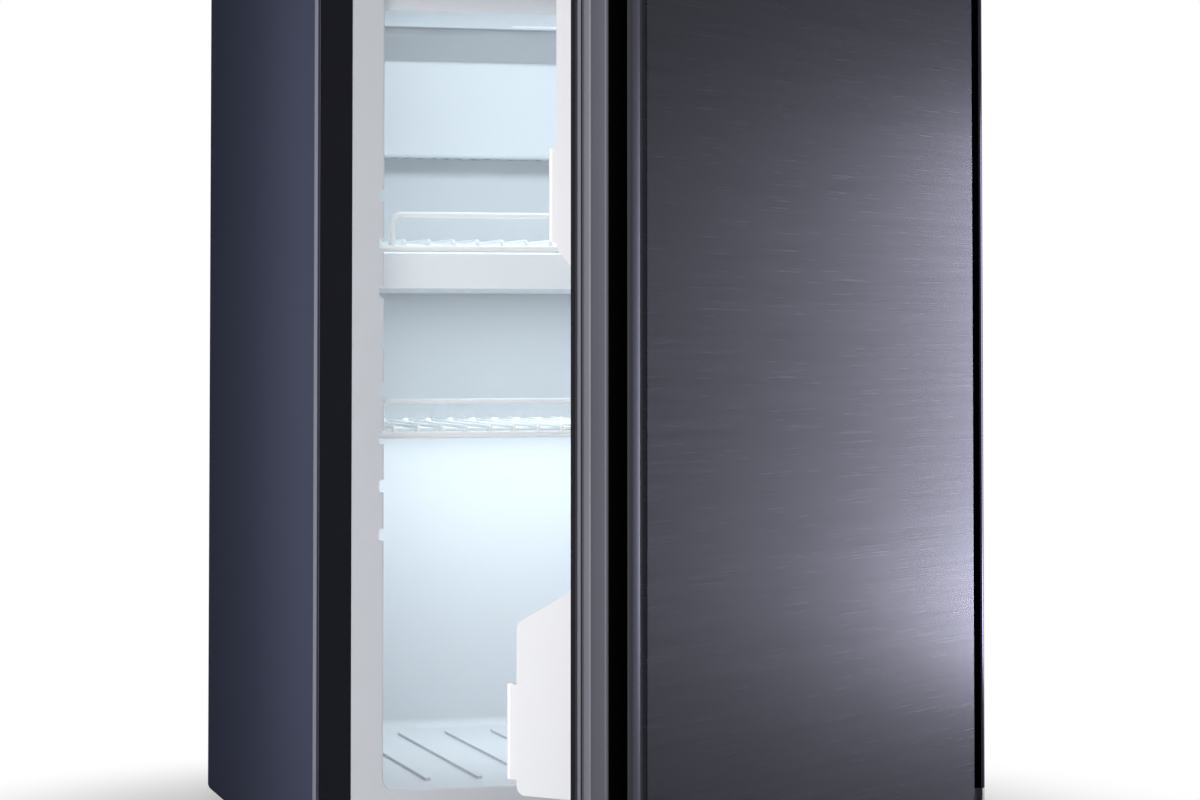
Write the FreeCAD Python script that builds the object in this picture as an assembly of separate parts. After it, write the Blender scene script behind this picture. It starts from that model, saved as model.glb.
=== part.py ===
import FreeCAD, Part
import math
import os

# Minibar fridge of the absorption type, in millimetres.
# The origin is on the floor at the centre of the cabinet, +X is right, +Y is backwards, +Z is up.
# The door is drawn closed and then turned to the ajar position of the rest pose.

os.makedirs("parts", exist_ok=True)

# Whole cabinet
cabinet_width = 396.0
cabinet_depth = 392.0
foot_height = 10.0
shell_top = 561.0
overrun = 4.0
fit_gap = 0.1
seat_gap = 0.3
slide_gap = 0.6
count_margin_share = 0.001
tiny_share = 0.0000001

# Sheet-metal wrapper
shell_sheet = 1.0
shell_corner_radius = 6.0
hem_thickness = 1.9
hem_depth = 9.0
hem_edge_radius = 0.8
shell_fold_radius = 1.0
shell_foot_flange = 14.0
shell_rear_flange = 8.0
vent_slot_width = 5.0
vent_slot_pitch = 11.0
vent_slot_length = 34.0
vent_rear_margin = 10.0
vent_side_margin = 60.0

# Front frame and compartment
strip_width = 20.6
flange_width = 19.0
frame_sheet = 1.2
frame_return = 6.0
frame_setback = 0.6
frame_corner_radius = 3.0
sill_height = 51.5
head_height = 33.0
back_foam = 38.0
compartment_corner = 7.0
lip_radius = 1.4
liner_wall = 2.0
liner_back_radius = 6.0
groove_edge_radius = 2.0
groove_end_gap = 8.0
groove_count = 8
groove_pitch = 27.95
groove_height = 7.4
groove_depth = 3.0
first_groove_drop = 236.0
floor_rib_count = 9
floor_rib_width = 3.0
floor_rib_height = 1.6
floor_rib_margin = 34.0

# Foam box and its back
bay_margin = 6.0
rear_sheet = 1.0
rear_panel_rim = 7.0
base_sheet = 1.6
base_rim = 12.0
base_vent_width = 4.0
base_vent_pitch = 10.0
base_vent_margin = 8.0
base_vent_side_margin = 70.0

# Feet
foot_radius = 15.0
foot_taper = 2.5
foot_side_inset = 34.0
foot_end_inset = 50.0
foot_stem_radius = 3.0
foot_stem_gap = 0.15
foot_edge_radius = 1.0

# Console under the ceiling
console_height = 16.0
console_setback = 16.0
console_depth = 94.0
console_wall = 2.2
console_edge_radius = 3.0
lens_width = 118.0
lens_depth = 12.0
lens_setback = 71.0
board_thickness = 1.6
board_post = 4.0
board_rise = 4.0
lens_gap = 0.2
lens_rim = 2.0
lens_rim_thickness = 1.0
led_count = 6
led_size = 3.2
led_height = 1.4
knob_offset = 92.0
knob_radius = 6.2
knob_length = 9.0
knob_grip_width = 2.6
knob_shaft_radius = 2.0
knob_running_gap = 0.08
knob_shaft_length = 8.0
knob_flare = 1.2
thermostat_width = 30.0
thermostat_depth = 34.0
thermostat_height = 10.0
console_top_radius = 8.0

# Evaporator on the back wall
cover_top_gap = 7.4
cover_height = 64.6
cover_side_gap = 12.4
cover_reach = 26.0
cover_wall = 1.8
cover_slot_width = 4.0
cover_slot_pitch = 9.0
cover_slot_margin = 14.0
cover_slot_inset = 6.0
cover_edge_radius = 3.0
fin_plate = 4.0
fin_reach = 15.0
fin_thickness = 1.5
fin_pitch = 11.0
fin_side_gap = 21.0
fin_end_gap = 4.0

# Wire shelves
frame_wire_radius = 2.25
cross_wire_radius = 1.2
guard_wire_radius = 1.75
brace_wire_radius = 1.75
brace_inset = 70.0
weld_sink = 0.45
cross_wire_pitch = 15.0
shelf_corner_radius = 9.0
guard_rise = 20.0
guard_end_inset = 16.0
guard_bend = 6.0
upper_shelf_groove = 6
lower_shelf_groove = 2
shelf_rack_gap = 3.9
lower_shelf_setback = 82.0
shelf_rear_gap = 8.0

# Drip tray
tray_groove = 5
tray_rack_gap = 2.9
tray_wall = 1.8
tray_top_gap = 1.0
tray_rear_gap = 12.0
tray_corner_radius = 5.0
tray_hang = 6.35
tray_side_gap = 2.0
tray_rib_count = 5
tray_rib_width = 2.0
tray_rib_height = 1.5

# Door as a whole
door_side_gap = 1.0
door_gap = 4.0
door_thickness = 34.5
door_open_degrees = 40.86
pivot_inset = 16.0
pivot_from_face = 19.0

# Door front: panel, shadow groove and the two side profiles
bead_width_free = 8.0
bead_width_hinge = 10.0
groove_width_free = 6.4
groove_width_hinge = 9.4
groove_floor = 3.0
panel_setback = 0.3
panel_edge_radius = 0.5
panel_sheet = 1.0
panel_rim = 1.4
panel_corner_radius = 4.0
panel_low_inset = 35.8
panel_high_inset = 29.5
lip_thickness = 1.8
bead_edge_radius = 0.85
profile_wall = 1.7
lip_tip = 2.9
recess_start = 4.8
recess_width = 10.4
recess_depth = 19.0
recess_corner = 3.0
side_flat_gap = 7.6
side_flat_step = 1.2
rib_gap = 4.6
rib_groove_gap = 2.3
rib_groove_step = 1.6
rear_rib_step = 0.7
profile_ledge = 6.0
profile_back_width = 24.0
hinge_front_radius = 9.0
hinge_back_radius = 12.0
profile_low_inset = 41.5
profile_high_inset = 32.0

# Door end caps
cap_wall = 2.5
cap_front_low_inset = 32.8
cap_front_high_inset = 26.5
cap_boss_radius = 8.0
cap_boss_floor = 2.5
cap_corner_radius = 2.0

# Door liner with its dykes
door_liner_sheet = 1.5
door_liner_edge = 3.0
door_liner_hinge_edge = 12.3
door_liner_end_margin = 4.0
plateau_inset = 44.0
plateau_low_inset = 58.0
plateau_high_inset = 51.0
plateau_depth = 10.0
plateau_radius = 8.0
dyke_inset = 50.5
dyke_width = 16.0
dyke_mid_reach = 24.0
dyke_upper_reach = 45.4
dyke_lower_reach = 70.5
dyke_foot_gap = 10.4
dyke_lower_straight = 90.0
dyke_lower_height = 114.6
dyke_upper_height = 151.0
dyke_upper_straight = 140.0
dyke_end_radius = 5.0
dyke_shoulder_radius = 5.0

# Racks on the door
rack_wall = 2.2
rack_side_gap = 0.5
rack_back_gap = 1.2
rack_end_inset = 53.0
upper_rack_drop = 136.5
upper_rack_height = 49.5
upper_rack_reach = 54.1
lower_rack_rise = 18.0
lower_rack_height = 49.8
lower_rack_reach = 80.8
rack_back_height = 24.0
rack_corner_radius = 5.0
rack_lug_height = 5.0
rack_lug_reach = 3.4
rack_lug_length = 16.0
rack_lug_drop = 4.0
rack_lug_setback = 14.0
rack_dyke_gap = 0.6

# Gasket
gasket_width = 12.0
gasket_free_inset = 1.2
gasket_hinge_inset = 12.6
gasket_low_inset = 18.5
gasket_high_inset = 5.0
gasket_bulb = 8.0
gasket_base = 1.4
gasket_bulb_inset = 0.4
gasket_corner_radius = 3.0
gasket_skirt = 1.6
magnet_skin = 0.5
magnet_gap = 0.1
magnet_width = 4.0
magnet_thickness = 1.2

# Hinges
bracket_sheet = 2.5
bracket_inner_reach = 22.0
bracket_outer_reach = 12.0
bracket_nose = 11.0
bracket_seat = 30.0
bracket_corner_radius = 8.0
pin_radius = 3.5
pin_length = 12.0
pin_rivet_radius = 2.5
pin_rivet_head_radius = 4.0
pin_rivet_head = 0.9
hinge_play = 0.4
bracket_screw_inset = 7.0
pin_running_gap = 0.06
bush_wall = 1.5
bush_flange_radius = 7.0
bush_flange = 1.6
bush_depth = 13.5
bush_fit = 0.05
screw_radius = 2.0
screw_head_radius = 3.6
screw_head_height = 2.2
screw_length = 9.0
screw_slot_width = 0.9
screw_slot_depth = 1.0
screw_hole_gap = 0.15

# Absorption cooling unit in the rear bay
boiler_radius = 25.0
boiler_inset = 70.0
boiler_box_gap = 23.4
vapour_rise = 132.0
boiler_rim = 3.0
unit_tube_radius = 8.0
small_tube_radius = 5.0
heater_radius = 6.5
heater_length = 14.0
heater_offset = 14.0
heater_lead_radius = 2.5
line_offset = 10.0
condenser_drop = 83.0
condenser_inset = 108.0
pipe_joint_gap = 9.0
evaporator_step = 32.0
evaporator_far_inset = 78.0
unit_bend = 22.0
small_bend = 14.0
plate_width = 46.0
plate_height = 54.0
plate_thickness = 0.8
plate_pitch = 9.0
plate_left_gap = 24.0
plate_right_gap = 54.0
plate_hole_gap = 0.12
evaporator_inset = 66.0
pipe_hole_gap = 0.3
vessel_radius = 24.0
vessel_left_inset = 133.0
vessel_right_inset = 73.0
vessel_rise = 49.4
vessel_dome = 9.0
vessel_stub_inset = 25.0
coil_left_inset = 136.0
coil_right_inset = 66.0
coil_start_rise = 62.0
coil_rise = 34.0
coil_top_gap = 90.0
exchanger_inset = 38.0
exchanger_radius = 11.0
exchanger_drop = 28.0
strap_width = 16.0
strap_sheet = 1.5
strap_flange = 14.0
strap_left_gap = 22.0
strap_right_gap = 32.0
strap_low_gap = 24.0
strap_high_gap = 2.0
saddle_width = 14.0
saddle_depth = 24.0
boiler_shelf_width = 44.0
boiler_shelf_leg = 20.0
boiler_shelf_overhang = 17.5
cradle_inset = 35.0

# Electrical box with its appliance inlet
box_width = 56.0
box_depth = 40.0
box_height = 60.0
box_inset = 36.0
box_wall = 2.0
box_corner_radius = 4.0
box_ear = 14.0
box_ear_thickness = 2.0
box_ear_low = 24.0
inlet_width = 31.0
inlet_height = 24.0
inlet_flange = 3.0
inlet_rim = 2.0
inlet_depth = 16.0
inlet_blade_width = 2.2
inlet_blade_height = 5.0
inlet_blade_length = 11.0
inlet_blade_pitch = 7.0

# Places worked out from the sizes above: the cabinet
half_width = cabinet_width / 2
half_depth = cabinet_depth / 2
tiny = cabinet_width * tiny_share
y_front = -cabinet_depth / 2
y_rear = cabinet_depth / 2
bay_depth = rear_sheet + 2 * (boiler_radius + boiler_rim / 2 + bay_margin)
foam_depth = cabinet_depth - bay_depth
compartment_depth = foam_depth - back_foam
wall_side = strip_width + flange_width
half_opening = half_width - wall_side
opening_low = foot_height + sill_height
opening_high = shell_top - head_height
y_back_wall = y_front + compartment_depth
y_foam_back = y_front + foam_depth
y_bay = y_foam_back + rear_sheet
z_base = foot_height + shell_sheet
z_floor = z_base + base_sheet
y_inner_bay = y_rear - shell_sheet
console_underside = opening_high - console_height
cover_top = console_underside - cover_top_gap
cover_underside = cover_top - cover_height
first_groove_height = cover_underside - first_groove_drop
cover_half = half_opening - cover_side_gap
upper_shelf_setback = upper_rack_reach - door_gap + shelf_rack_gap
tray_setback = upper_rack_reach - door_gap + tray_rack_gap
tray_seat = first_groove_height + tray_groove * groove_pitch + seat_gap
tray_floor_height = tray_seat + tray_hang
tray_rim_height = first_groove_height + upper_shelf_groove * groove_pitch + seat_gap - tray_top_gap

# Places of the door
door_left = -half_width + door_side_gap
door_width = cabinet_width - 2 * door_side_gap
y_door_back = y_front - door_gap
y_door_face = y_door_back - door_thickness
door_right = door_left + door_width
door_bottom = foot_height + bush_flange + hinge_play
door_top = shell_top - bush_flange - hinge_play
pivot_x = half_width - pivot_inset
pivot_y = y_door_face + pivot_from_face
panel_left = door_left + bead_width_free + groove_width_free
panel_right = door_right - bead_width_hinge - groove_width_hinge
panel_bottom = door_bottom + panel_low_inset
panel_top = door_top - panel_high_inset
profile_bottom = door_bottom + profile_low_inset
profile_top = door_top - profile_high_inset
cap_front_bottom = door_bottom + cap_front_low_inset
cap_front_top = door_top - cap_front_high_inset
recess_end = recess_start + recess_width
side_flat_end = door_thickness - side_flat_gap
rib_end = door_thickness - rib_gap
rib_groove_end = door_thickness - rib_groove_gap
plateau_low = door_bottom + plateau_low_inset
plateau_high = door_top - plateau_high_inset
dyke_lower_start = plateau_low + dyke_foot_gap
dyke_lower_shoulder = dyke_lower_start + dyke_lower_straight
dyke_lower_top = dyke_lower_start + dyke_lower_height
dyke_upper_start = plateau_high - dyke_upper_height
dyke_upper_full = plateau_high - dyke_upper_straight
upper_rack_low = plateau_high - upper_rack_drop
upper_rack_high = upper_rack_low + upper_rack_height
lower_rack_low = plateau_low + lower_rack_rise
lower_rack_high = lower_rack_low + lower_rack_height
gasket_bottom = door_bottom + gasket_low_inset
gasket_top = door_top - gasket_high_inset
gasket_height = door_gap - seat_gap

# Places of the cooling unit
y_unit = (y_bay + y_rear) / 2
condenser_height = shell_top - condenser_drop
condenser_left = -half_width + condenser_inset
boiler_x = -half_width + boiler_inset
boiler_bottom = z_floor + box_height + boiler_box_gap
boiler_height = condenser_height - vapour_rise - boiler_bottom
evaporator_x = half_width - evaporator_inset
evaporator_left = -half_width + evaporator_far_inset
exchanger_x = half_width - exchanger_inset
exchanger_top = condenser_height - evaporator_step - exchanger_drop
vessel_left = -half_width + vessel_left_inset
vessel_right = half_width - vessel_right_inset
vessel_x = (vessel_left + vessel_right) / 2
vessel_length = vessel_right - vessel_left
vessel_z = z_floor + vessel_rise
coil_left = -half_width + coil_left_inset
coil_right = half_width - coil_right_inset
coil_bottom = vessel_z + coil_start_rise
coil_pairs = int((exchanger_top - coil_top_gap - coil_bottom) / (2 * coil_rise) + count_margin_share)
coil_runs = 2 * coil_pairs + 1
strap_left = coil_left + strap_left_gap
strap_right = coil_right - strap_right_gap
strap_bottom = coil_bottom - strap_low_gap
strap_top = exchanger_top + strap_high_gap
box_x = -half_width + box_inset


def box(x, y, z):
    """Box between a low and a high value on each axis."""
    corner = FreeCAD.Vector(x[0], y[0], z[0])
    return Part.makeBox(x[1] - x[0], y[1] - y[0], z[1] - z[0], corner)


def cylinder(centre, radius, height, direction=(0, 0, 1)):
    return Part.makeCylinder(radius, height, FreeCAD.Vector(*centre), FreeCAD.Vector(*direction))


def fused(shapes):
    """Union of several solids, with the seams between them taken out."""
    shapes = list(shapes)
    if len(shapes) == 1:
        return shapes[0]
    return shapes[0].multiFuse(shapes[1:]).removeSplitter()


def corner_arc(before, corner, after, radius):
    """Start, middle and end of the arc that rounds a corner."""
    back = (before - corner).normalize()
    ahead = (after - corner).normalize()
    half_turn = (math.pi - back.getAngle(ahead)) / 2
    reach = radius * math.tan(half_turn)
    start = corner + back * reach
    end = corner + ahead * reach
    inwards = (back + ahead).normalize()
    middle = corner + inwards * (radius / math.cos(half_turn) - radius)
    return start, middle, end


def run_edges(points, radii, closed):
    """Straight runs through the points, joined by tangent arcs of the given radii."""
    count = len(points)
    stops = []
    for index, corner in enumerate(points):
        at_end = not closed and index in (0, count - 1)
        if at_end or radii[index] == 0:
            stops.append((corner,))
            continue
        before = points[index - 1]
        after = points[(index + 1) % count]
        stops.append(corner_arc(before, corner, after, radii[index]))
    edges = []
    for index, stop in enumerate(stops):
        if len(stop) == 3:
            edges.append(Part.Arc(*stop).toShape())
        if index == count - 1 and not closed:
            continue
        start = stop[-1]
        end = stops[(index + 1) % count][0]
        if start.distanceToPoint(end) > tiny:
            edges.append(Part.LineSegment(start, end).toShape())
    return edges


def outline_face(points, radii, place):
    """Flat face inside a closed outline. The place function turns (a, b) into a point in space."""
    if not isinstance(radii, (list, tuple)):
        radii = [radii] * len(points)
    spots = [place(a, b) for a, b in points]
    return Part.Face(Part.Wire(run_edges(spots, radii, True)))


def plate_xy(points, radii, z):
    face = outline_face(points, radii, lambda a, b: FreeCAD.Vector(a, b, z[0]))
    return face.extrude(FreeCAD.Vector(0, 0, z[1] - z[0]))


def plate_xz(points, radii, y):
    face = outline_face(points, radii, lambda a, b: FreeCAD.Vector(a, y[0], b))
    return face.extrude(FreeCAD.Vector(0, y[1] - y[0], 0))


def plate_yz(points, radii, x):
    face = outline_face(points, radii, lambda a, b: FreeCAD.Vector(x[0], a, b))
    return face.extrude(FreeCAD.Vector(x[1] - x[0], 0, 0))


def corners(a, b):
    """Four corners of a rectangle, anticlockwise."""
    return [(a[0], b[0]), (a[1], b[0]), (a[1], b[1]), (a[0], b[1])]


def tube(points, radius, bend):
    """Round bar or tube along a bent path."""
    spots = [FreeCAD.Vector(*point) for point in points]
    path = Part.Wire(run_edges(spots, [bend] * len(spots), False))
    section = Part.Circle(spots[0], spots[1] - spots[0], radius)
    ring = Part.Wire(section.toShape())
    return path.makePipeShell([ring], True, False)


def screw(seat, direction):
    """Pan-head screw with a slot. The seat is the point under the head, the direction points out."""
    x, y, z = seat
    out = FreeCAD.Vector(*direction)
    shank_start = FreeCAD.Vector(x, y, z) - out * screw_length
    shank = Part.makeCylinder(screw_radius, screw_length, shank_start, out)
    head = Part.makeCylinder(screw_head_radius, screw_head_height, FreeCAD.Vector(x, y, z), out)
    far = FreeCAD.Vector(x, y, z) + out * screw_head_height
    rim = [edge for edge in head.Edges if edge.Closed and (edge.CenterOfMass - far).Length < tiny]
    head = head.makeFillet(screw_head_height / 3, rim)
    slot = Part.makeBox(2 * screw_head_radius, screw_slot_width, screw_slot_depth)
    slot_floor = screw_head_height - screw_slot_depth
    slot.translate(FreeCAD.Vector(-screw_head_radius, -screw_slot_width / 2, slot_floor))
    turn = FreeCAD.Rotation(FreeCAD.Vector(0, 0, 1), out)
    slot.Placement = FreeCAD.Placement(FreeCAD.Vector(x, y, z), turn).multiply(slot.Placement)
    return fused([shank, head]).cut(slot)


def screw_hole(seat, direction, depth):
    """Clearance hole for a screw, from just outside its seat to a depth."""
    x, y, z = seat
    out = FreeCAD.Vector(*direction)
    start = FreeCAD.Vector(x, y, z) - out * depth
    return Part.makeCylinder(screw_radius + screw_hole_gap, depth + overrun, start, out)


def groove_low(index):
    return first_groove_height + index * groove_pitch


def spread(low, high, pitch):
    """Places at a pitch between two limits, centred on the span."""
    count = int((high - low) / pitch + count_margin_share)
    start = (low + high - count * pitch) / 2
    return [start + index * pitch for index in range(count + 1)]


def compound(shapes):
    return Part.makeCompound(list(shapes))


def past(span):
    """A span with the overrun added at both ends."""
    return (span[0] - overrun, span[1] + overrun)


def edges_at(shape, axis, value):
    """Edges that lie wholly in one plane across an axis."""
    found = []
    for edge in shape.Edges:
        bounds = edge.BoundBox
        low = getattr(bounds, axis + "Min")
        high = getattr(bounds, axis + "Max")
        if abs(low - value) < fit_gap and abs(high - value) < fit_gap:
            found.append(edge)
    return found


# Cabinet wrapper, frame and base

def shell_block(inset, y):
    """The cabinet's outline, pulled in by an inset, as a block between two depths."""
    x = (-half_width + inset, half_width - inset)
    z = (foot_height + inset, shell_top - inset)
    return plate_xz(corners(x, z), max(shell_corner_radius - inset, shell_fold_radius), y)


def hinge_screw_spots():
    """Seats and outward directions of the four hinge screws."""
    y = y_front + bracket_seat / 2
    spots = []
    for x in (pivot_x - bracket_inner_reach + bracket_screw_inset,
              pivot_x + bracket_outer_reach - bracket_screw_inset):
        spots.append(((x, y, shell_top + bracket_sheet), (0, 0, 1)))
        spots.append(((x, y, foot_height - bracket_sheet), (0, 0, -1)))
    return spots


def hinge_screw_holes():
    depth = screw_length + screw_hole_gap
    return compound(screw_hole(seat, out, depth) for seat, out in hinge_screw_spots())


def foot_spots():
    x = half_width - foot_side_inset
    y = half_depth - foot_end_inset
    return [(-x, -y), (x, -y), (-x, y), (x, y)]


def outer_shell():
    whole = (y_front + hem_depth / 2, y_rear)
    wrap = shell_block(0, whole).cut(shell_block(shell_sheet, past(whole)))
    fold = (y_front, y_front + hem_depth)
    hem = shell_block(0, fold).cut(shell_block(hem_thickness, past(fold)))
    hem = hem.makeFillet(hem_edge_radius, edges_at(hem, "Y", y_front))
    back = (y_rear - shell_sheet, y_rear)
    rear = shell_block(0, back).cut(shell_block(shell_rear_flange, past(back)))
    shape = fused([wrap, hem, rear])
    inner = half_width - shell_foot_flange
    low = (foot_height - overrun, foot_height + shell_foot_flange)
    shape = shape.cut(box((-inner, inner), past((y_front, y_rear)), low))
    slots = []
    for x in spread(vent_side_margin - half_width, half_width - vent_side_margin, vent_slot_pitch):
        span = (x - vent_slot_width / 2, x + vent_slot_width / 2)
        end = y_rear - vent_rear_margin
        slots.append(box(span, (end - vent_slot_length, end), past((shell_top - shell_sheet, shell_top))))
    return shape.cut(compound(slots)).cut(hinge_screw_holes())


def front_frame():
    """Steel ring round the opening, with a return along its inner edge."""
    outer = hem_thickness + fit_gap
    y = (y_front + frame_setback, y_front + frame_setback + frame_sheet)
    ring = shell_block(outer, y)
    reach = half_width - shell_foot_flange - fit_gap
    toe = box((-reach, reach), y, (foot_height, foot_height + shell_foot_flange))
    x = (-half_width + strip_width, half_width - strip_width)
    z = (opening_low - flange_width, opening_high + flange_width)
    deep = (y[0], y[0] + frame_return)
    wide_x = (x[0] - frame_sheet, x[1] + frame_sheet)
    wide_z = (z[0] - frame_sheet, z[1] + frame_sheet)
    collar = plate_xz(corners(wide_x, wide_z), frame_corner_radius + frame_sheet, deep)
    inside = plate_xz(corners(x, z), frame_corner_radius, past(deep))
    return fused([ring, toe, collar]).cut(inside)


def base_tray():
    x = (-half_width + shell_sheet + fit_gap, half_width - shell_sheet - fit_gap)
    y = (y_front + hem_depth + seat_gap, y_inner_bay - fit_gap)
    floor = box(x, y, (z_base, z_floor))
    rim = box(x, (y[1] - base_sheet, y[1]), (z_base, z_base + base_rim))
    shape = fused([floor, rim]).common(shell_block(shell_sheet + fit_gap, y))
    slots = []
    reach = half_width - base_vent_side_margin
    for at in spread(-reach, reach, base_vent_pitch):
        span = (at - base_vent_width / 2, at + base_vent_width / 2)
        depth = (y_bay + base_vent_margin, y[1] - base_sheet - base_vent_margin)
        slots.append(box(span, depth, past((z_base, z_floor))))
    for at in foot_spots():
        hole = foot_stem_radius + foot_stem_gap
        slots.append(cylinder((at[0], at[1], z_base - overrun), hole, base_sheet + 2 * overrun))
    return shape.cut(compound(slots)).cut(hinge_screw_holes())


def feet():
    shapes = []
    for x, y in foot_spots():
        bottom = foot_radius - foot_taper
        pad = Part.makeCone(bottom, foot_radius, z_base, FreeCAD.Vector(x, y, 0))
        pad = pad.makeFillet(foot_edge_radius, edges_at(pad, "Z", 0))
        stem = cylinder((x, y, z_base / 2), foot_stem_radius, z_floor - fit_gap - z_base / 2)
        shapes.append(fused([pad, stem]))
    return compound(shapes)


# Compartment

def liner_space(extra):
    """The compartment's inner form, grown outwards by an amount."""
    x = (-half_opening - extra, half_opening + extra)
    z = (opening_low - extra, opening_high + extra)
    solid = plate_xz(corners(x, z), compartment_corner + extra, (y_front, y_back_wall + extra))
    return solid.makeFillet(liner_back_radius, edges_at(solid, "Y", y_back_wall + extra))


def groove_space(extra, end):
    """All shelf grooves of both sides as bars, grown outwards by an amount."""
    bars = []
    reach = half_opening + groove_depth + extra
    radius = groove_edge_radius + extra / 2
    for index in range(groove_count):
        z = (groove_low(index) - extra, groove_low(index) + groove_height + extra)
        points = corners((-reach, reach), z)
        bars.append(plate_xz(points, radius, (y_front - overrun, end)))
    return bars


def groove_end():
    return y_back_wall - groove_end_gap


def liner_outer():
    """Outside of the compartment's walls, which the foam is moulded round."""
    bulges = compound(groove_space(liner_wall, groove_end() + liner_wall))
    front = box(past((-half_width, half_width)), (y_front - 2 * overrun, y_front), (0, shell_top))
    return fused([liner_space(liner_wall)] + [bar.cut(front) for bar in bulges.Solids])


def inner_liner():
    x = half_width - strip_width - fit_gap
    z = (opening_low - flange_width + fit_gap, opening_high + flange_width - fit_gap)
    flange = plate_xz(corners((-x, x), z), frame_corner_radius, (y_front, y_front + liner_wall))
    shape = fused([liner_outer(), flange]).cut(liner_space(0))
    mouth = []
    for edge in edges_at(shape, "Y", y_front):
        if edge.BoundBox.XMax < x - fit_gap and edge.BoundBox.XMin > fit_gap - x:
            if edge.BoundBox.ZMax < z[1] - fit_gap and edge.BoundBox.ZMin > z[0] + fit_gap:
                mouth.append(edge)
    shape = shape.makeFillet(lip_radius, mouth)
    shape = shape.cut(compound(groove_space(0, groove_end())))
    ribs = []
    span = half_opening - floor_rib_margin
    pitch = 2 * span / (floor_rib_count - 1)
    for at in spread(-span, span, pitch):
        width = (at - floor_rib_width / 2, at + floor_rib_width / 2)
        depth = (y_front + floor_rib_margin, y_back_wall - floor_rib_margin)
        ribs.append(box(width, depth, (opening_low - liner_wall / 2, opening_low + floor_rib_height)))
    return fused([shape] + ribs)


def pipe_entries():
    """Where the two ends of the evaporator tube leave the foam: x and height."""
    return [(evaporator_x, condenser_height), (exchanger_x, condenser_height - evaporator_step)]


def pipe_holes(gap):
    shapes = []
    for x, z in pipe_entries():
        start = (x, y_back_wall, z)
        shapes.append(cylinder(start, unit_tube_radius + gap, y_unit - y_back_wall, (0, 1, 0)))
    return compound(shapes)


def cabinet_foam():
    depth = (y_front + hem_depth + seat_gap, y_foam_back)
    block = shell_block(shell_sheet, depth)
    block = block.cut(box((-half_width, half_width), past(depth), (0, z_floor)))
    shape = block.cut(liner_outer())
    for tool in (evaporator_tube(fit_gap), hinge_screw_holes(), unit_screw_holes()):
        shape = shape.cut(tool)
    return shape


def rear_panel():
    y = (y_foam_back, y_bay)
    x = (-half_width + shell_sheet + fit_gap, half_width - shell_sheet - fit_gap)
    z = (z_floor, shell_top - shell_sheet - fit_gap)
    sheet = plate_xz(corners(x, z), shell_corner_radius, y)
    deep = (y[0], y[1] + rear_panel_rim)
    inner_x = (x[0] + rear_sheet, x[1] - rear_sheet)
    rim = plate_xz(corners(x, z), shell_corner_radius, deep)
    rim = rim.cut(box(inner_x, past(deep), past(z)))
    return fused([sheet, rim]).cut(pipe_holes(pipe_hole_gap)).cut(unit_screw_holes())


# Console with its light and thermostat

def lens_centre():
    return y_front + console_setback + lens_setback + lens_depth / 2


def console_outline(inset):
    x = half_opening - seat_gap - inset
    y = (y_front + console_setback + inset, y_front + console_setback + console_depth - inset)
    return x, y


def control_console():
    x, y = console_outline(0)
    radii = [console_edge_radius, console_edge_radius, console_top_radius, console_top_radius]
    outer = plate_xz(corners((-x, x), (console_underside, opening_high)), radii, y)
    front = edges_at(outer, "Y", y[0])
    low = [edge for edge in front if edge.CenterOfMass.z < console_underside + console_top_radius / 2]
    outer = outer.makeFillet(console_edge_radius / 2, low)
    inner_x, inner_y = console_outline(console_wall)
    inner_z = (console_underside + console_wall, opening_high + overrun)
    shape = outer.cut(box((-inner_x + console_top_radius, inner_x - console_top_radius), inner_y, inner_z))
    lens_x = lens_width / 2 + lens_gap
    lens_y = lens_depth / 2 + lens_gap
    centre = lens_centre()
    window = past((console_underside, console_underside + console_wall))
    shape = shape.cut(box((-lens_x, lens_x), (centre - lens_y, centre + lens_y), window))
    hole = knob_shaft_radius + knob_running_gap
    start = (knob_offset, y[0] - overrun, knob_height())
    shape = shape.cut(cylinder(start, hole, overrun + console_wall + overrun, (0, 1, 0)))
    return fused([shape] + board_posts())


def knob_height():
    return (console_underside + opening_high) / 2


def board_half():
    reach = lens_rim + lens_gap + board_post
    return lens_width / 2 + reach, lens_depth / 2 + reach


def board_posts():
    half_x, half_y = board_half()
    base = console_underside + console_wall
    z = (base - console_wall / 2, base + board_rise)
    posts = []
    for sx in (-1, 1):
        for sy in (-1, 1):
            x = sorted((sx * half_x, sx * (half_x - board_post)))
            y = sorted((sy * half_y, sy * (half_y - board_post)))
            posts.append(box(x, (lens_centre() + y[0], lens_centre() + y[1]), z))
    return posts


def light_lens():
    half_x = lens_width / 2
    half_y = lens_depth / 2
    centre = lens_centre()
    base = console_underside + console_wall
    top = base + lens_rim_thickness
    plug = box((-half_x, half_x), (centre - half_y, centre + half_y), (console_underside, top))
    x = half_x + lens_rim - lens_gap
    y = half_y + lens_rim - lens_gap
    rim = box((-x, x), (centre - y, centre + y), (base, top))
    return fused([plug, rim])


def led_board():
    half_x, half_y = board_half()
    base = console_underside + console_wall + board_rise
    centre = lens_centre()
    board = box((-half_x, half_x), (centre - half_y, centre + half_y), (base, base + board_thickness))
    lamps = []
    pitch = lens_width / led_count
    for index in range(led_count):
        x = (index + 0.5) * pitch - lens_width / 2
        span_x = (x - led_size / 2, x + led_size / 2)
        span_y = (centre - led_size / 2, centre + led_size / 2)
        lamps.append(box(span_x, span_y, (base - led_height, base)))
    return fused([board] + lamps)


def thermostat_body():
    y = y_front + console_setback + console_wall
    z = (knob_height() - thermostat_height / 2, knob_height() + thermostat_height / 2)
    x = (knob_offset - thermostat_width / 2, knob_offset + thermostat_width / 2)
    shape = box(x, (y, y + thermostat_depth), z)
    hole = knob_shaft_radius + knob_running_gap
    depth = knob_shaft_length - console_wall + seat_gap + overrun
    return shape.cut(cylinder((knob_offset, y - overrun, knob_height()), hole, depth, (0, 1, 0)))


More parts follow.
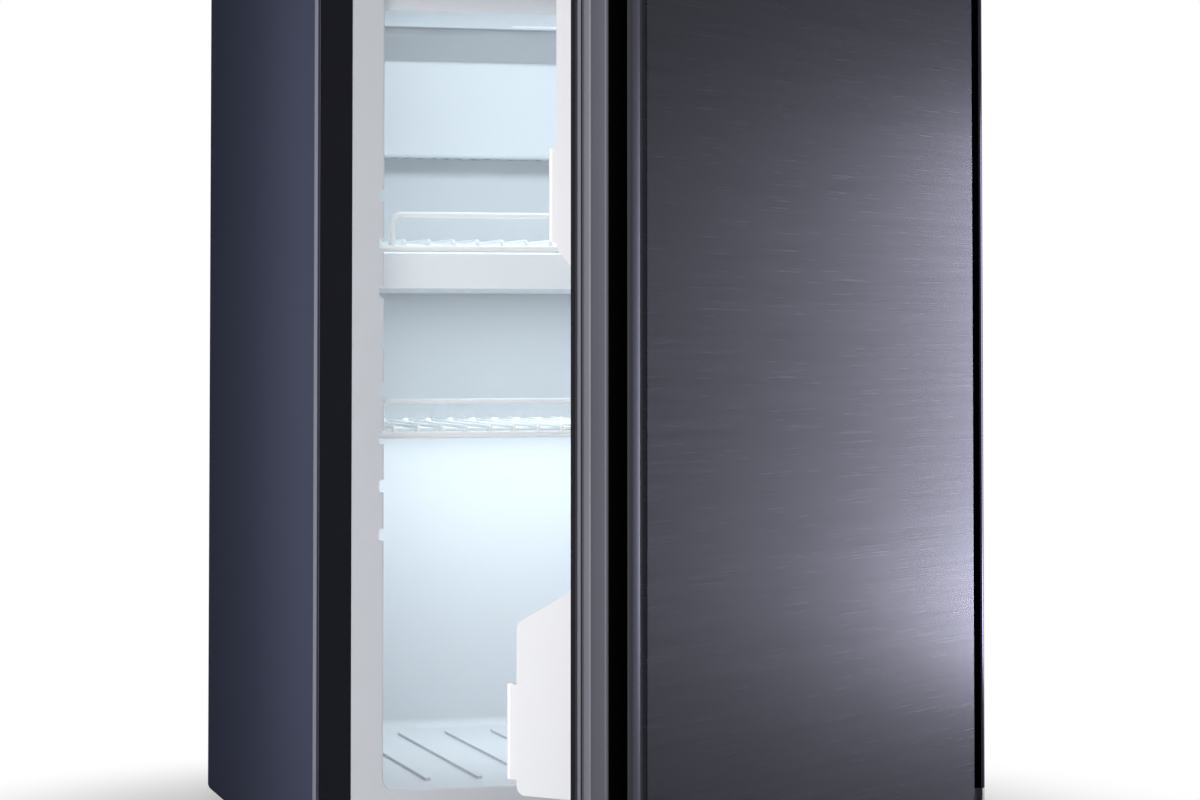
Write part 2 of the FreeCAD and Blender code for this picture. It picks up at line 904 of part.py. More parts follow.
def thermostat_knob():
    face = y_front + console_setback - seat_gap
    front = face - knob_length
    skirt = Part.makeCone(knob_radius, knob_radius - knob_flare, knob_length / 3,
                          FreeCAD.Vector(knob_offset, face, knob_height()), FreeCAD.Vector(0, -1, 0))
    core = cylinder((knob_offset, front, knob_height()), knob_grip_width, knob_length, (0, 1, 0))
    reach = knob_radius - knob_flare
    grip = box((knob_offset - knob_grip_width / 2, knob_offset + knob_grip_width / 2), (front, face),
               (knob_height() - reach, knob_height() + reach))
    shaft = cylinder((knob_offset, face - knob_length / 2, knob_height()), knob_shaft_radius,
                     knob_length / 2 + seat_gap + knob_shaft_length, (0, 1, 0))
    return fused([skirt, core, grip, shaft])


# Evaporator inside the compartment

def evaporator_cover():
    """Smooth cover over the fins. Air passes through slots in its top and underside."""
    y = (y_back_wall - cover_reach, y_back_wall)
    z = (cover_underside, cover_top)
    outer = box((-cover_half, cover_half), y, z)
    rim = [edge for edge in outer.Edges if edge.BoundBox.YMin < y[0] + fit_gap]
    outer = outer.makeFillet(cover_edge_radius, rim)
    inner_x = cover_half - cover_wall
    inner_z = (z[0] + cover_wall, z[1] - cover_wall)
    shape = outer.cut(box((-inner_x, inner_x), (y[0] + cover_wall, y[1] + overrun), inner_z))
    slots = []
    reach = cover_half - cover_slot_margin
    depth = (y[0] + cover_slot_inset, y[1] - cover_slot_inset)
    for at in spread(-reach, reach, cover_slot_pitch):
        span = (at - cover_slot_width / 2, at + cover_slot_width / 2)
        slots.append(box(span, depth, past(z)))
    return shape.cut(compound(slots))


def evaporator_fins():
    x = cover_half - fin_side_gap
    z = (cover_underside + fin_end_gap, cover_top - fin_end_gap)
    plate = box((-x, x), (y_back_wall - fin_plate, y_back_wall), z)
    fins = [plate]
    y = (y_back_wall - fin_plate - fin_reach, y_back_wall - fin_plate / 2)
    for at in spread(fin_thickness - x, x - fin_thickness, fin_pitch):
        fins.append(box((at - fin_thickness / 2, at + fin_thickness / 2), y, z))
    return fused(fins)


# Wire shelves

def shelf_level(groove):
    return groove_low(groove) + seat_gap + frame_wire_radius


def wire_shelf(groove, setback):
    z = shelf_level(groove)
    x = half_opening + groove_depth - slide_gap - frame_wire_radius
    y = (y_front + setback, y_back_wall - shelf_rear_gap)
    ring = [(0, y[0]), (x, y[0]), (x, y[1]), (-x, y[1]), (-x, y[0]), (0, y[0])]
    wires = [tube([(a, b, z) for a, b in ring], frame_wire_radius, shelf_corner_radius)]
    top = z + frame_wire_radius + cross_wire_radius - weld_sink
    reach = x - cross_wire_pitch / 2
    for at in spread(-reach, reach, cross_wire_pitch):
        start = (at, y[0] - frame_wire_radius / 2, top)
        wires.append(cylinder(start, cross_wire_radius, y[1] - y[0] + frame_wire_radius, (0, 1, 0)))
    low = top - cross_wire_radius - brace_wire_radius + weld_sink
    for at in (y[0] + brace_inset, y[1] - brace_inset):
        wires.append(cylinder((-x, at, low), brace_wire_radius, 2 * x, (1, 0, 0)))
    end = x - guard_end_inset
    rise = [(-end, z), (-end, z + guard_rise), (end, z + guard_rise), (end, z)]
    wires.append(tube([(a, y[0], b) for a, b in rise], guard_wire_radius, guard_bend))
    return fused(wires)


def shelf_upper():
    return wire_shelf(upper_shelf_groove, upper_shelf_setback)


def shelf_lower():
    return wire_shelf(lower_shelf_groove, lower_shelf_setback)


# Drip tray

def drip_tray():
    x = half_opening - tray_side_gap
    y = (y_front + tray_setback, y_back_wall - tray_rear_gap)
    rest = tray_seat
    pan = plate_xy(corners((-x, x), y), tray_corner_radius, (tray_floor_height, tray_rim_height))
    inner_x = x - tray_wall
    inner_y = (y[0] + tray_wall, y[1] - tray_wall)
    inner_radius = tray_corner_radius - tray_wall
    inner_z = (tray_floor_height + tray_wall, tray_rim_height + overrun)
    pan = pan.cut(plate_xy(corners((-inner_x, inner_x), inner_y), inner_radius, inner_z))
    parts = [pan]
    run_y = (y[0] + tray_corner_radius, y[1] - tray_corner_radius)
    edge = half_opening + groove_depth - slide_gap
    for side in (-1, 1):
        web = sorted((side * inner_x, side * x))
        parts.append(box(web, run_y, (rest, tray_floor_height + tray_wall)))
        wing = sorted((side * inner_x, side * edge))
        groove = groove_space(-seat_gap, groove_end())[tray_groove]
        parts.append(box(wing, run_y, (rest, rest + tray_wall)).common(groove))
    span = inner_x * 2 / (tray_rib_count + 1)
    for index in range(tray_rib_count):
        at = (index + 1) * span - inner_x
        width = (at - tray_rib_width / 2, at + tray_rib_width / 2)
        depth = (inner_y[0] + tray_corner_radius, inner_y[1] - tray_corner_radius)
        level = tray_floor_height + tray_wall
        parts.append(box(width, depth, (level - tray_wall / 2, level + tray_rib_height)))
    return fused(parts)


# Door. Sections are drawn with u from an edge inwards and v from the front face backwards.

def free_side(points):
    return [(door_left + u, y_door_face + v) for u, v in points]


def hinge_side(points):
    return [(door_right - u, y_door_face + v) for u, v in points]


def door_outline(inset, front, back, radii):
    """Plan of the door between two depths, pulled in at the sides."""
    x = (door_left + inset, door_right - inset)
    return corners(x, (front, back)), radii


def handle_profile():
    """Side profile of the free edge, with the grip recess open to the side."""
    wall_end = recess_depth + profile_wall
    inside = side_flat_step + profile_wall
    back_wall = door_thickness - profile_wall
    section = [
        (0, 0, bead_edge_radius), (bead_width_free, 0, bead_edge_radius),
        (bead_width_free, groove_floor, 0), (wall_end, groove_floor, recess_corner),
        (wall_end, recess_end + profile_wall, 0), (inside, recess_end + profile_wall, 0),
        (inside, back_wall, 0), (profile_back_width, back_wall, 0),
        (profile_back_width, door_thickness, 0), (rear_rib_step, door_thickness, bead_edge_radius / 2),
        (rear_rib_step, rib_groove_end, 0), (rib_groove_step, rib_groove_end, 0),
        (rib_groove_step, rib_end, 0), (0, rib_end, bead_edge_radius / 2),
        (0, side_flat_end, bead_edge_radius / 2), (side_flat_step, side_flat_end, 0),
        (side_flat_step, recess_end, bead_edge_radius), (recess_depth, recess_end, recess_corner),
        (recess_depth, recess_start, recess_corner), (bead_width_free, recess_start, recess_corner),
        (0, lip_tip, bead_edge_radius),
    ]
    points = free_side([(u, v) for u, v, r in section])
    return plate_xy(points, [r for u, v, r in section], (profile_bottom, profile_top))


def hinge_side_profile():
    ledge = bead_width_hinge + groove_width_hinge + profile_ledge
    front_wall = groove_floor + lip_thickness
    back_wall = door_thickness - profile_wall
    section = [
        (0, 0, hinge_front_radius), (bead_width_hinge, 0, bead_edge_radius),
        (bead_width_hinge, groove_floor, 0), (ledge, groove_floor, 0), (ledge, front_wall, 0),
        (profile_wall, front_wall, hinge_front_radius - profile_wall),
        (profile_wall, back_wall, hinge_back_radius - profile_wall),
        (profile_back_width, back_wall, 0), (profile_back_width, door_thickness, 0),
        (0, door_thickness, hinge_back_radius),
    ]
    points = hinge_side([(u, v) for u, v, r in section])
    return plate_xy(points, [r for u, v, r in section], (profile_bottom, profile_top))


def door_panel():
    x = (panel_left, panel_right)
    z = (panel_bottom, panel_top)
    y = (y_door_face + panel_setback, y_door_face + groove_floor)
    outer = plate_xz(corners(x, z), panel_corner_radius, y)
    outer = outer.makeFillet(panel_edge_radius, edges_at(outer, "Y", y[0]))
    inner_x = (x[0] + panel_rim, x[1] - panel_rim)
    inner_z = (z[0] + panel_rim, z[1] - panel_rim)
    inner_y = (y[0] + panel_sheet, y[1] + overrun)
    return outer.cut(plate_xz(corners(inner_x, inner_z), panel_corner_radius - panel_rim, inner_y))


def hinge_bore(gap):
    """Bore for both hinge bushes, through the full height."""
    radius = pin_radius + pin_running_gap + bush_wall + gap
    return cylinder((pivot_x, pivot_y, 0), radius, shell_top)


def cap_shape(outer_z, inner_z, groove_z, boss_z):
    """End cap as a pan that is open towards the profiles."""
    points, radii = door_outline(0, y_door_face, y_door_back,
                                 [bead_edge_radius, hinge_front_radius, hinge_back_radius,
                                  cap_corner_radius])
    body = plate_xy(points, radii, outer_z)
    front = y_door_face + groove_floor + cap_wall
    points, radii = door_outline(cap_wall, front, y_door_back - cap_wall,
                                 [0, hinge_front_radius - cap_wall, hinge_back_radius - cap_wall, 0])
    body = body.cut(plate_xy(points, radii, inner_z))
    shelf_x = (door_left + bead_width_free, door_right - bead_width_hinge)
    body = body.cut(box(shelf_x, (y_door_face - overrun, y_door_face + groove_floor), groove_z))
    end_z = (profile_bottom - cap_wall, profile_bottom)
    if inner_z[0] < outer_z[0]:
        end_z = (profile_top, profile_top + cap_wall)
    end_x = (door_left + cap_wall / 2, door_left + recess_depth + profile_wall)
    end_y = (y_door_face + groove_floor, y_door_face + recess_end + profile_wall)
    stop = box(end_x, end_y, end_z)
    boss = cylinder((pivot_x, pivot_y, boss_z[0]), cap_boss_radius, boss_z[1] - boss_z[0])
    boss = boss.common(body_fill(outer_z))
    return fused([body, stop, boss])


def body_fill(z):
    points, radii = door_outline(cap_wall / 2, y_door_face + groove_floor, y_door_back, 0)
    return plate_xy(points, radii, z)


def bush_socket(span):
    radius = pin_radius + pin_running_gap + bush_wall + bush_fit
    return cylinder((pivot_x, pivot_y, span[0]), radius, span[1] - span[0])


def door_cap_bottom():
    boss = (door_bottom, door_bottom + bush_depth + cap_boss_floor)
    shape = cap_shape((door_bottom, profile_bottom), (door_bottom + cap_wall, profile_bottom + overrun),
                      (cap_front_bottom, profile_bottom + overrun), boss)
    return shape.cut(bush_socket((door_bottom - overrun, door_bottom + bush_depth)))


def door_cap_top():
    boss = (door_top - bush_depth - cap_boss_floor, door_top)
    shape = cap_shape((profile_top, door_top), (profile_top - overrun, door_top - cap_wall),
                      (profile_top - overrun, cap_front_top), boss)
    return shape.cut(bush_socket((door_top - bush_depth, door_top + overrun)))


def hinge_bushes():
    inner = pin_radius + pin_running_gap
    outer = inner + bush_wall
    low = fused([
        cylinder((pivot_x, pivot_y, door_bottom), outer, bush_depth),
        cylinder((pivot_x, pivot_y, door_bottom - bush_flange), bush_flange_radius, bush_flange),
    ])
    high = fused([
        cylinder((pivot_x, pivot_y, door_top - bush_depth), outer, bush_depth),
        cylinder((pivot_x, pivot_y, door_top), bush_flange_radius, bush_flange),
    ])
    hole = cylinder((pivot_x, pivot_y, 0), inner, shell_top + overrun)
    return compound([low.cut(hole), high.cut(hole)])


# Door liner with its plateau and dykes. Reaches are measured from the door's back plane.

def plateau(inset):
    x = (door_left + plateau_inset + inset, door_right - plateau_inset - inset)
    z = (plateau_low + inset, plateau_high - inset)
    y = (y_door_back - inset, y_door_back + plateau_depth - inset)
    return plate_xz(corners(x, z), plateau_radius - inset, y)


def dyke_outline(inset):
    """Side view of a dyke as (reach, height, radius)."""
    base = plateau_depth / 2 - inset
    low = dyke_lower_start + inset
    return [
        (base, low, 0),
        (dyke_lower_reach - inset, low, dyke_end_radius),
        (dyke_lower_reach - inset, dyke_lower_shoulder - inset / 2, dyke_shoulder_radius),
        (dyke_mid_reach - inset, dyke_lower_top - inset, dyke_end_radius),
        (dyke_mid_reach - inset, dyke_upper_start + inset, dyke_end_radius),
        ((dyke_upper_reach + dyke_mid_reach) / 2 - inset, dyke_upper_start + inset, dyke_end_radius),
        (dyke_upper_reach - inset, dyke_upper_full + inset, dyke_end_radius),
        (dyke_upper_reach - inset, plateau_high - inset, dyke_end_radius),
        (base, plateau_high - inset, 0),
    ]


def dyke_spans(inset):
    left = door_left + dyke_inset
    right = door_right - dyke_inset
    return [(left + inset, left + dyke_width - inset), (right - dyke_width + inset, right - inset)]


def dykes(inset):
    outline = dyke_outline(inset)
    points = [(y_door_back + reach, z) for reach, z, radius in outline]
    radii = [radius for reach, z, radius in outline]
    return [plate_yz(points, radii, span) for span in dyke_spans(inset)]


def liner_cores():
    """Foam that fills the plateau and the dykes from behind the liner."""
    return fused([plateau(door_liner_sheet)] + dykes(door_liner_sheet))


def liner_sheet_span():
    x = (door_left + door_liner_edge, door_right - door_liner_hinge_edge)
    z = (door_bottom + door_liner_end_margin, door_top - door_liner_end_margin)
    return x, z


def rack_lugs():
    """Lugs on the dykes' inner faces, under and inside the ends of each rack."""
    lugs = []
    for low in (upper_rack_low, lower_rack_low):
        y = y_door_back + plateau_depth + rack_lug_setback
        z = (low - rack_lug_drop, low + rack_lug_height)
        for side, span in zip((1, -1), dyke_spans(0)):
            face = span[1] if side > 0 else span[0]
            x = sorted((face - side * door_liner_sheet, face + side * rack_lug_reach))
            lugs.append(box(x, (y, y + rack_lug_length), z))
    return lugs


def door_liner():
    x, z = liner_sheet_span()
    y = (y_door_back, y_door_back + door_liner_sheet)
    sheet = plate_xz(corners(x, z), gasket_corner_radius, y)
    outer = fused([sheet, plateau(0)] + dykes(0))
    return fused([outer.cut(liner_cores())] + rack_lugs())


def door_foam():
    """Foam between the profiles, caps, panel and liner, with the liner's cores."""
    wall_end = recess_depth + profile_wall
    inside = side_flat_step + profile_wall
    back_wall = door_thickness - profile_wall
    front_wall = groove_floor + lip_thickness
    recess_wall = recess_end + profile_wall
    free = free_side([(inside, back_wall), (inside, recess_wall), (wall_end, recess_wall),
                      (wall_end, front_wall)])
    hinge = hinge_side([(profile_wall, front_wall), (profile_wall, back_wall)])
    radii = [0, 0, 0, 0, hinge_front_radius - profile_wall, hinge_back_radius - profile_wall]
    core = plate_xy(free + hinge, radii, (profile_bottom, profile_top))
    ledge = bead_width_hinge + groove_width_hinge + profile_ledge
    pad_x = (door_left + wall_end, door_right - ledge)
    pad_y = (y_door_face + panel_setback + panel_sheet, y_door_face + front_wall)
    front = box(pad_x, pad_y, (profile_bottom, profile_top))
    rear_x = (door_left + profile_back_width, door_right - profile_back_width)
    rear = box(rear_x, (y_door_face + back_wall, y_door_back), (profile_bottom, profile_top))
    parts = [core, front, rear, liner_cores()]
    cap_y = (y_door_face + groove_floor + cap_wall, y_door_back - cap_wall)
    for z in ((door_bottom + cap_wall, profile_bottom), (profile_top, door_top - cap_wall)):
        points, radii = door_outline(cap_wall, cap_y[0], cap_y[1],
                                     [0, hinge_front_radius - cap_wall, hinge_back_radius - cap_wall, 0])
        parts.append(plate_xy(points, radii, z))
    shape = fused(parts)
    return shape.cut(door_cap_bottom()).cut(door_cap_top()).cut(hinge_bore(bush_fit))


# Gasket on the liner's edge

def gasket_ring(outer, inner, y):
    """Rectangular ring between two insets from the gasket's outer edge."""
    rings = []
    for inset in (outer, inner):
        x = (door_left + gasket_free_inset + inset, door_right - gasket_hinge_inset - inset)
        z = (gasket_bottom + inset, gasket_top - inset)
        radius = max(gasket_corner_radius - inset, 0)
        span = y if inset == outer else past(y)
        rings.append(plate_xz(corners(x, z), radius, span))
    return rings[0].cut(rings[1])


def magnet_span(gap):
    inset = gasket_bulb_inset + (gasket_bulb - magnet_width) / 2 - gap
    y = y_door_back + gasket_height - magnet_skin - magnet_thickness
    return inset, inset + magnet_width + 2 * gap, (y - gap, y + magnet_thickness + gap)


def door_gasket():
    base = y_door_back + door_liner_sheet
    foot = gasket_ring(0, gasket_width, (base, base + gasket_base))
    top = y_door_back + gasket_height
    bulb = gasket_ring(gasket_bulb_inset, gasket_bulb_inset + gasket_bulb, (base, top))
    skirt_x = (door_left + gasket_free_inset, door_left + gasket_free_inset + gasket_skirt)
    skirt_z = (gasket_bottom + gasket_corner_radius, gasket_top - gasket_corner_radius)
    skirt = box(skirt_x, (y_door_back, base + gasket_base / 2), skirt_z)
    outer, inner, y = magnet_span(magnet_gap)
    return fused([foot, bulb, skirt]).cut(gasket_ring(outer, inner, y))


def gasket_magnets():
    outer, inner, y = magnet_span(0)
    ring = gasket_ring(outer, inner, y)
    side_z = (gasket_bottom + inner + fit_gap, gasket_top - inner - fit_gap)
    whole = past((door_left, door_right))
    middle = (door_left + gasket_width, door_right - gasket_hinge_inset - gasket_width)
    uprights = ring.common(box(whole, past(y), side_z))
    rail_x = (middle[0] + gasket_width, middle[1] - gasket_width)
    rails = ring.common(box(rail_x, past(y), past((0, shell_top))))
    return compound(uprights.Solids + rails.Solids)


# Racks, hooked between and in front of the dykes

def rack_plan(front, inset):
    """Plan of a rack: a body between the dykes and a wider front before them."""
    spans = dyke_spans(0)
    side = spans[1][0] - rack_side_gap - inset
    wing = door_right - rack_end_inset - inset
    back = y_door_back + plateau_depth + rack_back_gap + inset
    return side, wing, back, y_door_back + front - inset


def rack(low, high, front, dyke_reach):
    side, wing, back, face = rack_plan(front, 0)
    before_dyke = y_door_back + dyke_reach + rack_dyke_gap
    body = plate_xy(corners((-side, side), (back, face)), rack_corner_radius, (low, high))
    nose = plate_xy(corners((-wing, wing), (before_dyke, face)),
                    [0, 0, rack_corner_radius, rack_corner_radius], (low, high))
    outer = fused([body, nose])
    side, wing, back, face = rack_plan(front, rack_wall)
    inner_radius = rack_corner_radius - rack_wall
    z = (low + rack_wall, high + overrun)
    body = plate_xy(corners((-side, side), (back, face)), inner_radius, z)
    nose = plate_xy(corners((-wing, wing), (before_dyke + rack_wall, face)),
                    [0, 0, inner_radius, inner_radius], z)
    shape = outer.cut(fused([body, nose]))
    side, wing, back, face = rack_plan(front, 0)
    depth = (back - overrun, back + rack_wall + tiny)
    window = box(past((-wing, wing)), depth, (low + rack_back_height, high + overrun))
    shape = shape.cut(window)
    return seat_rack(shape, low, side)


def seat_rack(shape, low, side):
    """Pockets in the rack's ends that drop over the lugs on the dykes."""
    start = y_door_back + plateau_depth + rack_lug_setback - seat_gap
    length = rack_lug_length + 2 * seat_gap
    reach = rack_lug_reach - rack_side_gap + seat_gap
    height = rack_lug_height + seat_gap
    for sign in (-1, 1):
        x = sorted((sign * side, sign * (side - reach - rack_wall)))
        y = (start - rack_wall, start + length + rack_wall)
        shape = fused([shape, box(x, y, (low, low + height + rack_wall))])
    for sign in (-1, 1):
        x = sorted((sign * (side + overrun), sign * (side - reach)))
        shape = shape.cut(box(x, (start, start + length), (low - overrun, low + height)))
    return shape


def door_rack_upper():
    return rack(upper_rack_low, upper_rack_high, upper_rack_reach, dyke_upper_reach)


def door_rack_lower():
    return rack(lower_rack_low, lower_rack_high, lower_rack_reach, dyke_lower_reach)


# Hinges

def hinge_bracket(z):
    x = (pivot_x - bracket_inner_reach, pivot_x + bracket_outer_reach)
    y = (pivot_y - bracket_nose, y_front + bracket_seat)
    radii = [bracket_corner_radius, bracket_corner_radius, frame_corner_radius, frame_corner_radius]
    plate = plate_xy(corners(x, y), radii, z)
    rivet = cylinder((pivot_x, pivot_y, z[0] - overrun), pin_rivet_radius, bracket_sheet + 2 * overrun)
    return plate.cut(rivet).cut(hinge_screw_holes())


def hinge_bracket_top():
    return hinge_bracket((shell_top, shell_top + bracket_sheet))


def hinge_bracket_bottom():
    return hinge_bracket((foot_height - bracket_sheet, foot_height))


def hinge_pins():
    top = fused([
        cylinder((pivot_x, pivot_y, shell_top - pin_length), pin_radius, pin_length),
        cylinder((pivot_x, pivot_y, shell_top), pin_rivet_radius, bracket_sheet),
        cylinder((pivot_x, pivot_y, shell_top + bracket_sheet), pin_rivet_head_radius, pin_rivet_head),
    ])
    low = foot_height - bracket_sheet
    bottom = fused([
        cylinder((pivot_x, pivot_y, foot_height), pin_radius, pin_length),
        cylinder((pivot_x, pivot_y, low), pin_rivet_radius, bracket_sheet),
        cylinder((pivot_x, pivot_y, low - pin_rivet_head), pin_rivet_head_radius, pin_rivet_head),
    ])
    return compound([top, bottom])


def hinge_screws():
    return compound(screw(seat, out) for seat, out in hinge_screw_spots())


# Absorption cooling unit

def boiler_casing():
    start = (boiler_x, y_unit, boiler_bottom)
    shape = cylinder(start, boiler_radius, boiler_height)
    lid = boiler_radius + boiler_rim / 2
    low = cylinder(start, lid, boiler_rim)
    high = cylinder((boiler_x, y_unit, boiler_bottom + boiler_height - boiler_rim), lid, boiler_rim)
    return fused([shape, low, high]).cut(heater_space(fit_gap))


def heater_space(gap):
    start = (boiler_x - heater_offset, y_unit, boiler_bottom - overrun)
    return cylinder(start, heater_radius + gap, overrun + boiler_height / 2 + gap)


def heater_cartridge():
    x = boiler_x - heater_offset
    low = boiler_bottom - heater_length
    rod = cylinder((x, y_unit, low), heater_radius, heater_length + boiler_height / 2)
    lead_start = z_floor + box_height - box_wall
    lead = cylinder((x, y_unit, lead_start), heater_lead_radius, low - lead_start)
    return fused([rod, lead])


def vapour_pipe():
    start = boiler_bottom + boiler_height
    path = [(boiler_x, y_unit, start), (boiler_x, y_unit, condenser_height),
            (condenser_left, y_unit, condenser_height)]
    return tube(path, unit_tube_radius, unit_bend)


def pipe_joint():
    return y_bay + pipe_joint_gap


def condenser_tube():
    path = [(condenser_left, y_unit, condenser_height), (evaporator_x, y_unit, condenser_height),
            (evaporator_x, pipe_joint(), condenser_height)]
    return tube(path, unit_tube_radius, unit_bend)


def condenser_fins():
    plates = []
    first = condenser_left + plate_left_gap
    for x in spread(first, evaporator_x - plate_right_gap, plate_pitch):
        y = (y_unit - plate_width / 2, y_unit + plate_width / 2)
        z = (condenser_height - plate_height / 2, condenser_height + plate_height / 2)
        plate = plate_yz(corners(y, z), box_wall, (x, x + plate_thickness))
        start = (x - overrun, y_unit, condenser_height)
        hole = cylinder(start, unit_tube_radius + plate_hole_gap, plate_thickness + 2 * overrun, (1, 0, 0))
        plates.append(plate.cut(hole))
    return compound(plates)


def evaporator_tube(gap=0):
    """Tube behind the compartment's back wall, from the condenser to the gas heat exchanger."""
    y = y_back_wall + liner_wall + unit_tube_radius
    high = condenser_height
    low = condenser_height - evaporator_step
    path = [(evaporator_x, pipe_joint(), high), (evaporator_x, y, high), (evaporator_left, y, high),
            (evaporator_left, y, low), (exchanger_x, y, low), (exchanger_x, y_unit, low),
            (exchanger_x, y_unit, exchanger_top)]
    return tube(path, unit_tube_radius + gap, small_bend)


def heat_exchanger():
    path = [(exchanger_x, y_unit, exchanger_top), (exchanger_x, y_unit, vessel_z),
            (vessel_x + vessel_length / 2 - vessel_dome, y_unit, vessel_z)]
    return tube(path, exchanger_radius, unit_bend).cut(absorber_vessel())


def absorber_vessel():
    start = (vessel_x - vessel_length / 2, y_unit, vessel_z)
    body = cylinder(start, vessel_radius, vessel_length, (1, 0, 0))
    ends = edges_at(body, "X", start[0]) + edges_at(body, "X", start[0] + vessel_length)
    return body.makeFillet(vessel_dome, ends)


def absorber_coil():
    """Serpentine from the vessel up to the gas heat exchanger."""
    start = vessel_x - vessel_length / 2 + vessel_stub_inset
    path = [(start, vessel_z + vessel_radius / 2), (start, coil_bottom)]
    for index in range(coil_runs):
        z = coil_bottom + index * coil_rise
        ends = (coil_left, coil_right) if index % 2 == 0 else (coil_right, coil_left)
        if index > 0:
            path.append((ends[0], z))
        path.append((ends[1] if index < coil_runs - 1 else exchanger_x, z))
    points = [(x, y_unit, z) for x, z in path]
    coil = tube(points, unit_tube_radius, coil_rise / 2 - fit_gap)
    return coil.cut(absorber_vessel()).cut(heat_exchanger())


def solution_line():
    x = boiler_x + line_offset
    start = (vessel_x - vessel_length / 2 + vessel_dome, y_unit, vessel_z)
    path = [start, (x, y_unit, vessel_z), (x, y_unit, boiler_bottom)]
    return tube(path, small_tube_radius, small_bend).cut(absorber_vessel())


def strap(x):
    """Standing strap of the cooling unit with a foot at each end on the rear panel."""
    span = (x - strap_width / 2, x + strap_width / 2)
    front = y_unit - unit_tube_radius
    bar = box(span, (front - strap_sheet, front), (strap_bottom, strap_top))
    leg_low = box(span, (y_bay, front), (strap_bottom, strap_bottom + strap_sheet))
    leg_high = box(span, (y_bay, front), (strap_top - strap_sheet, strap_top))
    foot_y = (y_bay, y_bay + strap_sheet)
    foot_low = box(span, foot_y, (strap_bottom - strap_flange, strap_bottom + strap_sheet))
    foot_high = box(span, foot_y, (strap_top - strap_sheet, strap_top + strap_flange))
    return fused([bar, leg_low, leg_high, foot_low, foot_high])


def boiler_shelf():
    span = (boiler_x - boiler_shelf_width / 2, boiler_x + boiler_shelf_width / 2)
    z = (boiler_bottom - strap_sheet, boiler_bottom)
    deck = box(span, (y_bay, y_unit + boiler_shelf_overhang), z)
    leg = box(span, (y_bay, y_bay + strap_sheet), (boiler_bottom - boiler_shelf_leg, boiler_bottom))
    line = cylinder((boiler_x + line_offset, y_unit, z[0] - overrun), small_tube_radius + fit_gap,
                    strap_sheet + 2 * overrun)
    return fused([deck, leg]).cut(line).cut(heater_space(fit_gap))


def cradles():
    shapes = []
    for side in (-1, 1):
        x = vessel_x + side * (vessel_length / 2 - cradle_inset)
        span = (x - saddle_width / 2, x + saddle_width / 2)
        y = (y_unit - saddle_depth / 2, y_unit + saddle_depth / 2)
        shapes.append(box(span, y, (z_floor, vessel_z)).cut(absorber_vessel()))
    return shapes


def unit_screw_spots():
    """Screws into the rear panel: straps, boiler shelf and the electrical box."""
    out = (0, 1, 0)
    y = y_bay + strap_sheet
    spots = []
    for x in (strap_left, strap_right):
        spots.append(((x, y, strap_bottom - strap_flange / 2), out))
        spots.append(((x, y, strap_top + strap_flange / 2), out))
    for side in (-1, 1):
        x = boiler_x + side * boiler_shelf_width / 3
        spots.append(((x, y, boiler_bottom - strap_sheet - (boiler_shelf_leg - strap_sheet) / 2), out))
    ear_y = y_bay + box_ear_thickness
    spots.append(((box_x - box_width / 4, ear_y, z_floor + box_height + box_ear / 2), out))
    spots.append(((box_x + box_width / 2 + box_ear / 2, ear_y, z_floor + box_ear_low), out))
    return spots


def unit_screw_holes():
    depth = screw_length + screw_hole_gap
    return compound(screw_hole(seat, out, depth) for seat, out in unit_screw_spots())


def unit_brackets():
    shapes = [strap(strap_left), strap(strap_right), boiler_shelf()]
    holes = unit_screw_holes()
    return compound([shape.cut(holes) for shape in shapes] + cradles())


def unit_screws():
    return compound(screw(seat, out) for seat, out in unit_screw_spots())


# Electrical box with its inlet

def inlet_centre():
    return (box_x, z_floor + box_height / 2)


def junction_box():
    x = (box_x - box_width / 2, box_x + box_width / 2)
    z = (z_floor, z_floor + box_height)
    outer = box(x, (y_bay, y_bay + box_depth), z)
    outer = outer.makeFillet(box_corner_radius / 2, edges_at(outer, "Y", y_bay + box_depth))
    inner_x = (x[0] + box_wall, x[1] - box_wall)
    inner_z = (z[0] + box_wall, z[1] - box_wall)
    shape = outer.cut(box(inner_x, (y_bay - overrun, y_bay + box_depth - box_wall), inner_z))
    ear_y = (y_bay, y_bay + box_ear_thickness)
    ear_x = box_x - box_width / 4
    top = box((ear_x - box_ear / 2, ear_x + box_ear / 2), ear_y, (z[1] - box_wall, z[1] + box_ear))
    side_z = (z_floor + box_ear_low - box_ear / 2, z_floor + box_ear_low + box_ear / 2)
    side = box((x[1] - box_wall, x[1] + box_ear), ear_y, side_z)
    shape = fused([shape, top, side])
    cx, cz = inlet_centre()
    half_x = inlet_width / 2 - inlet_flange + fit_gap
    half_z = inlet_height / 2 - inlet_flange + fit_gap
    depth = past((y_bay + inlet_depth, y_bay + box_depth))
    window = box((cx - half_x, cx + half_x), depth, (cz - half_z, cz + half_z))
    shape = shape.cut(window).cut(unit_screw_holes())
    lead_start = (boiler_x - heater_offset, y_unit, z[1] - overrun)
    lead = cylinder(lead_start, heater_lead_radius + fit_gap, 2 * overrun)
    return shape.cut(lead)


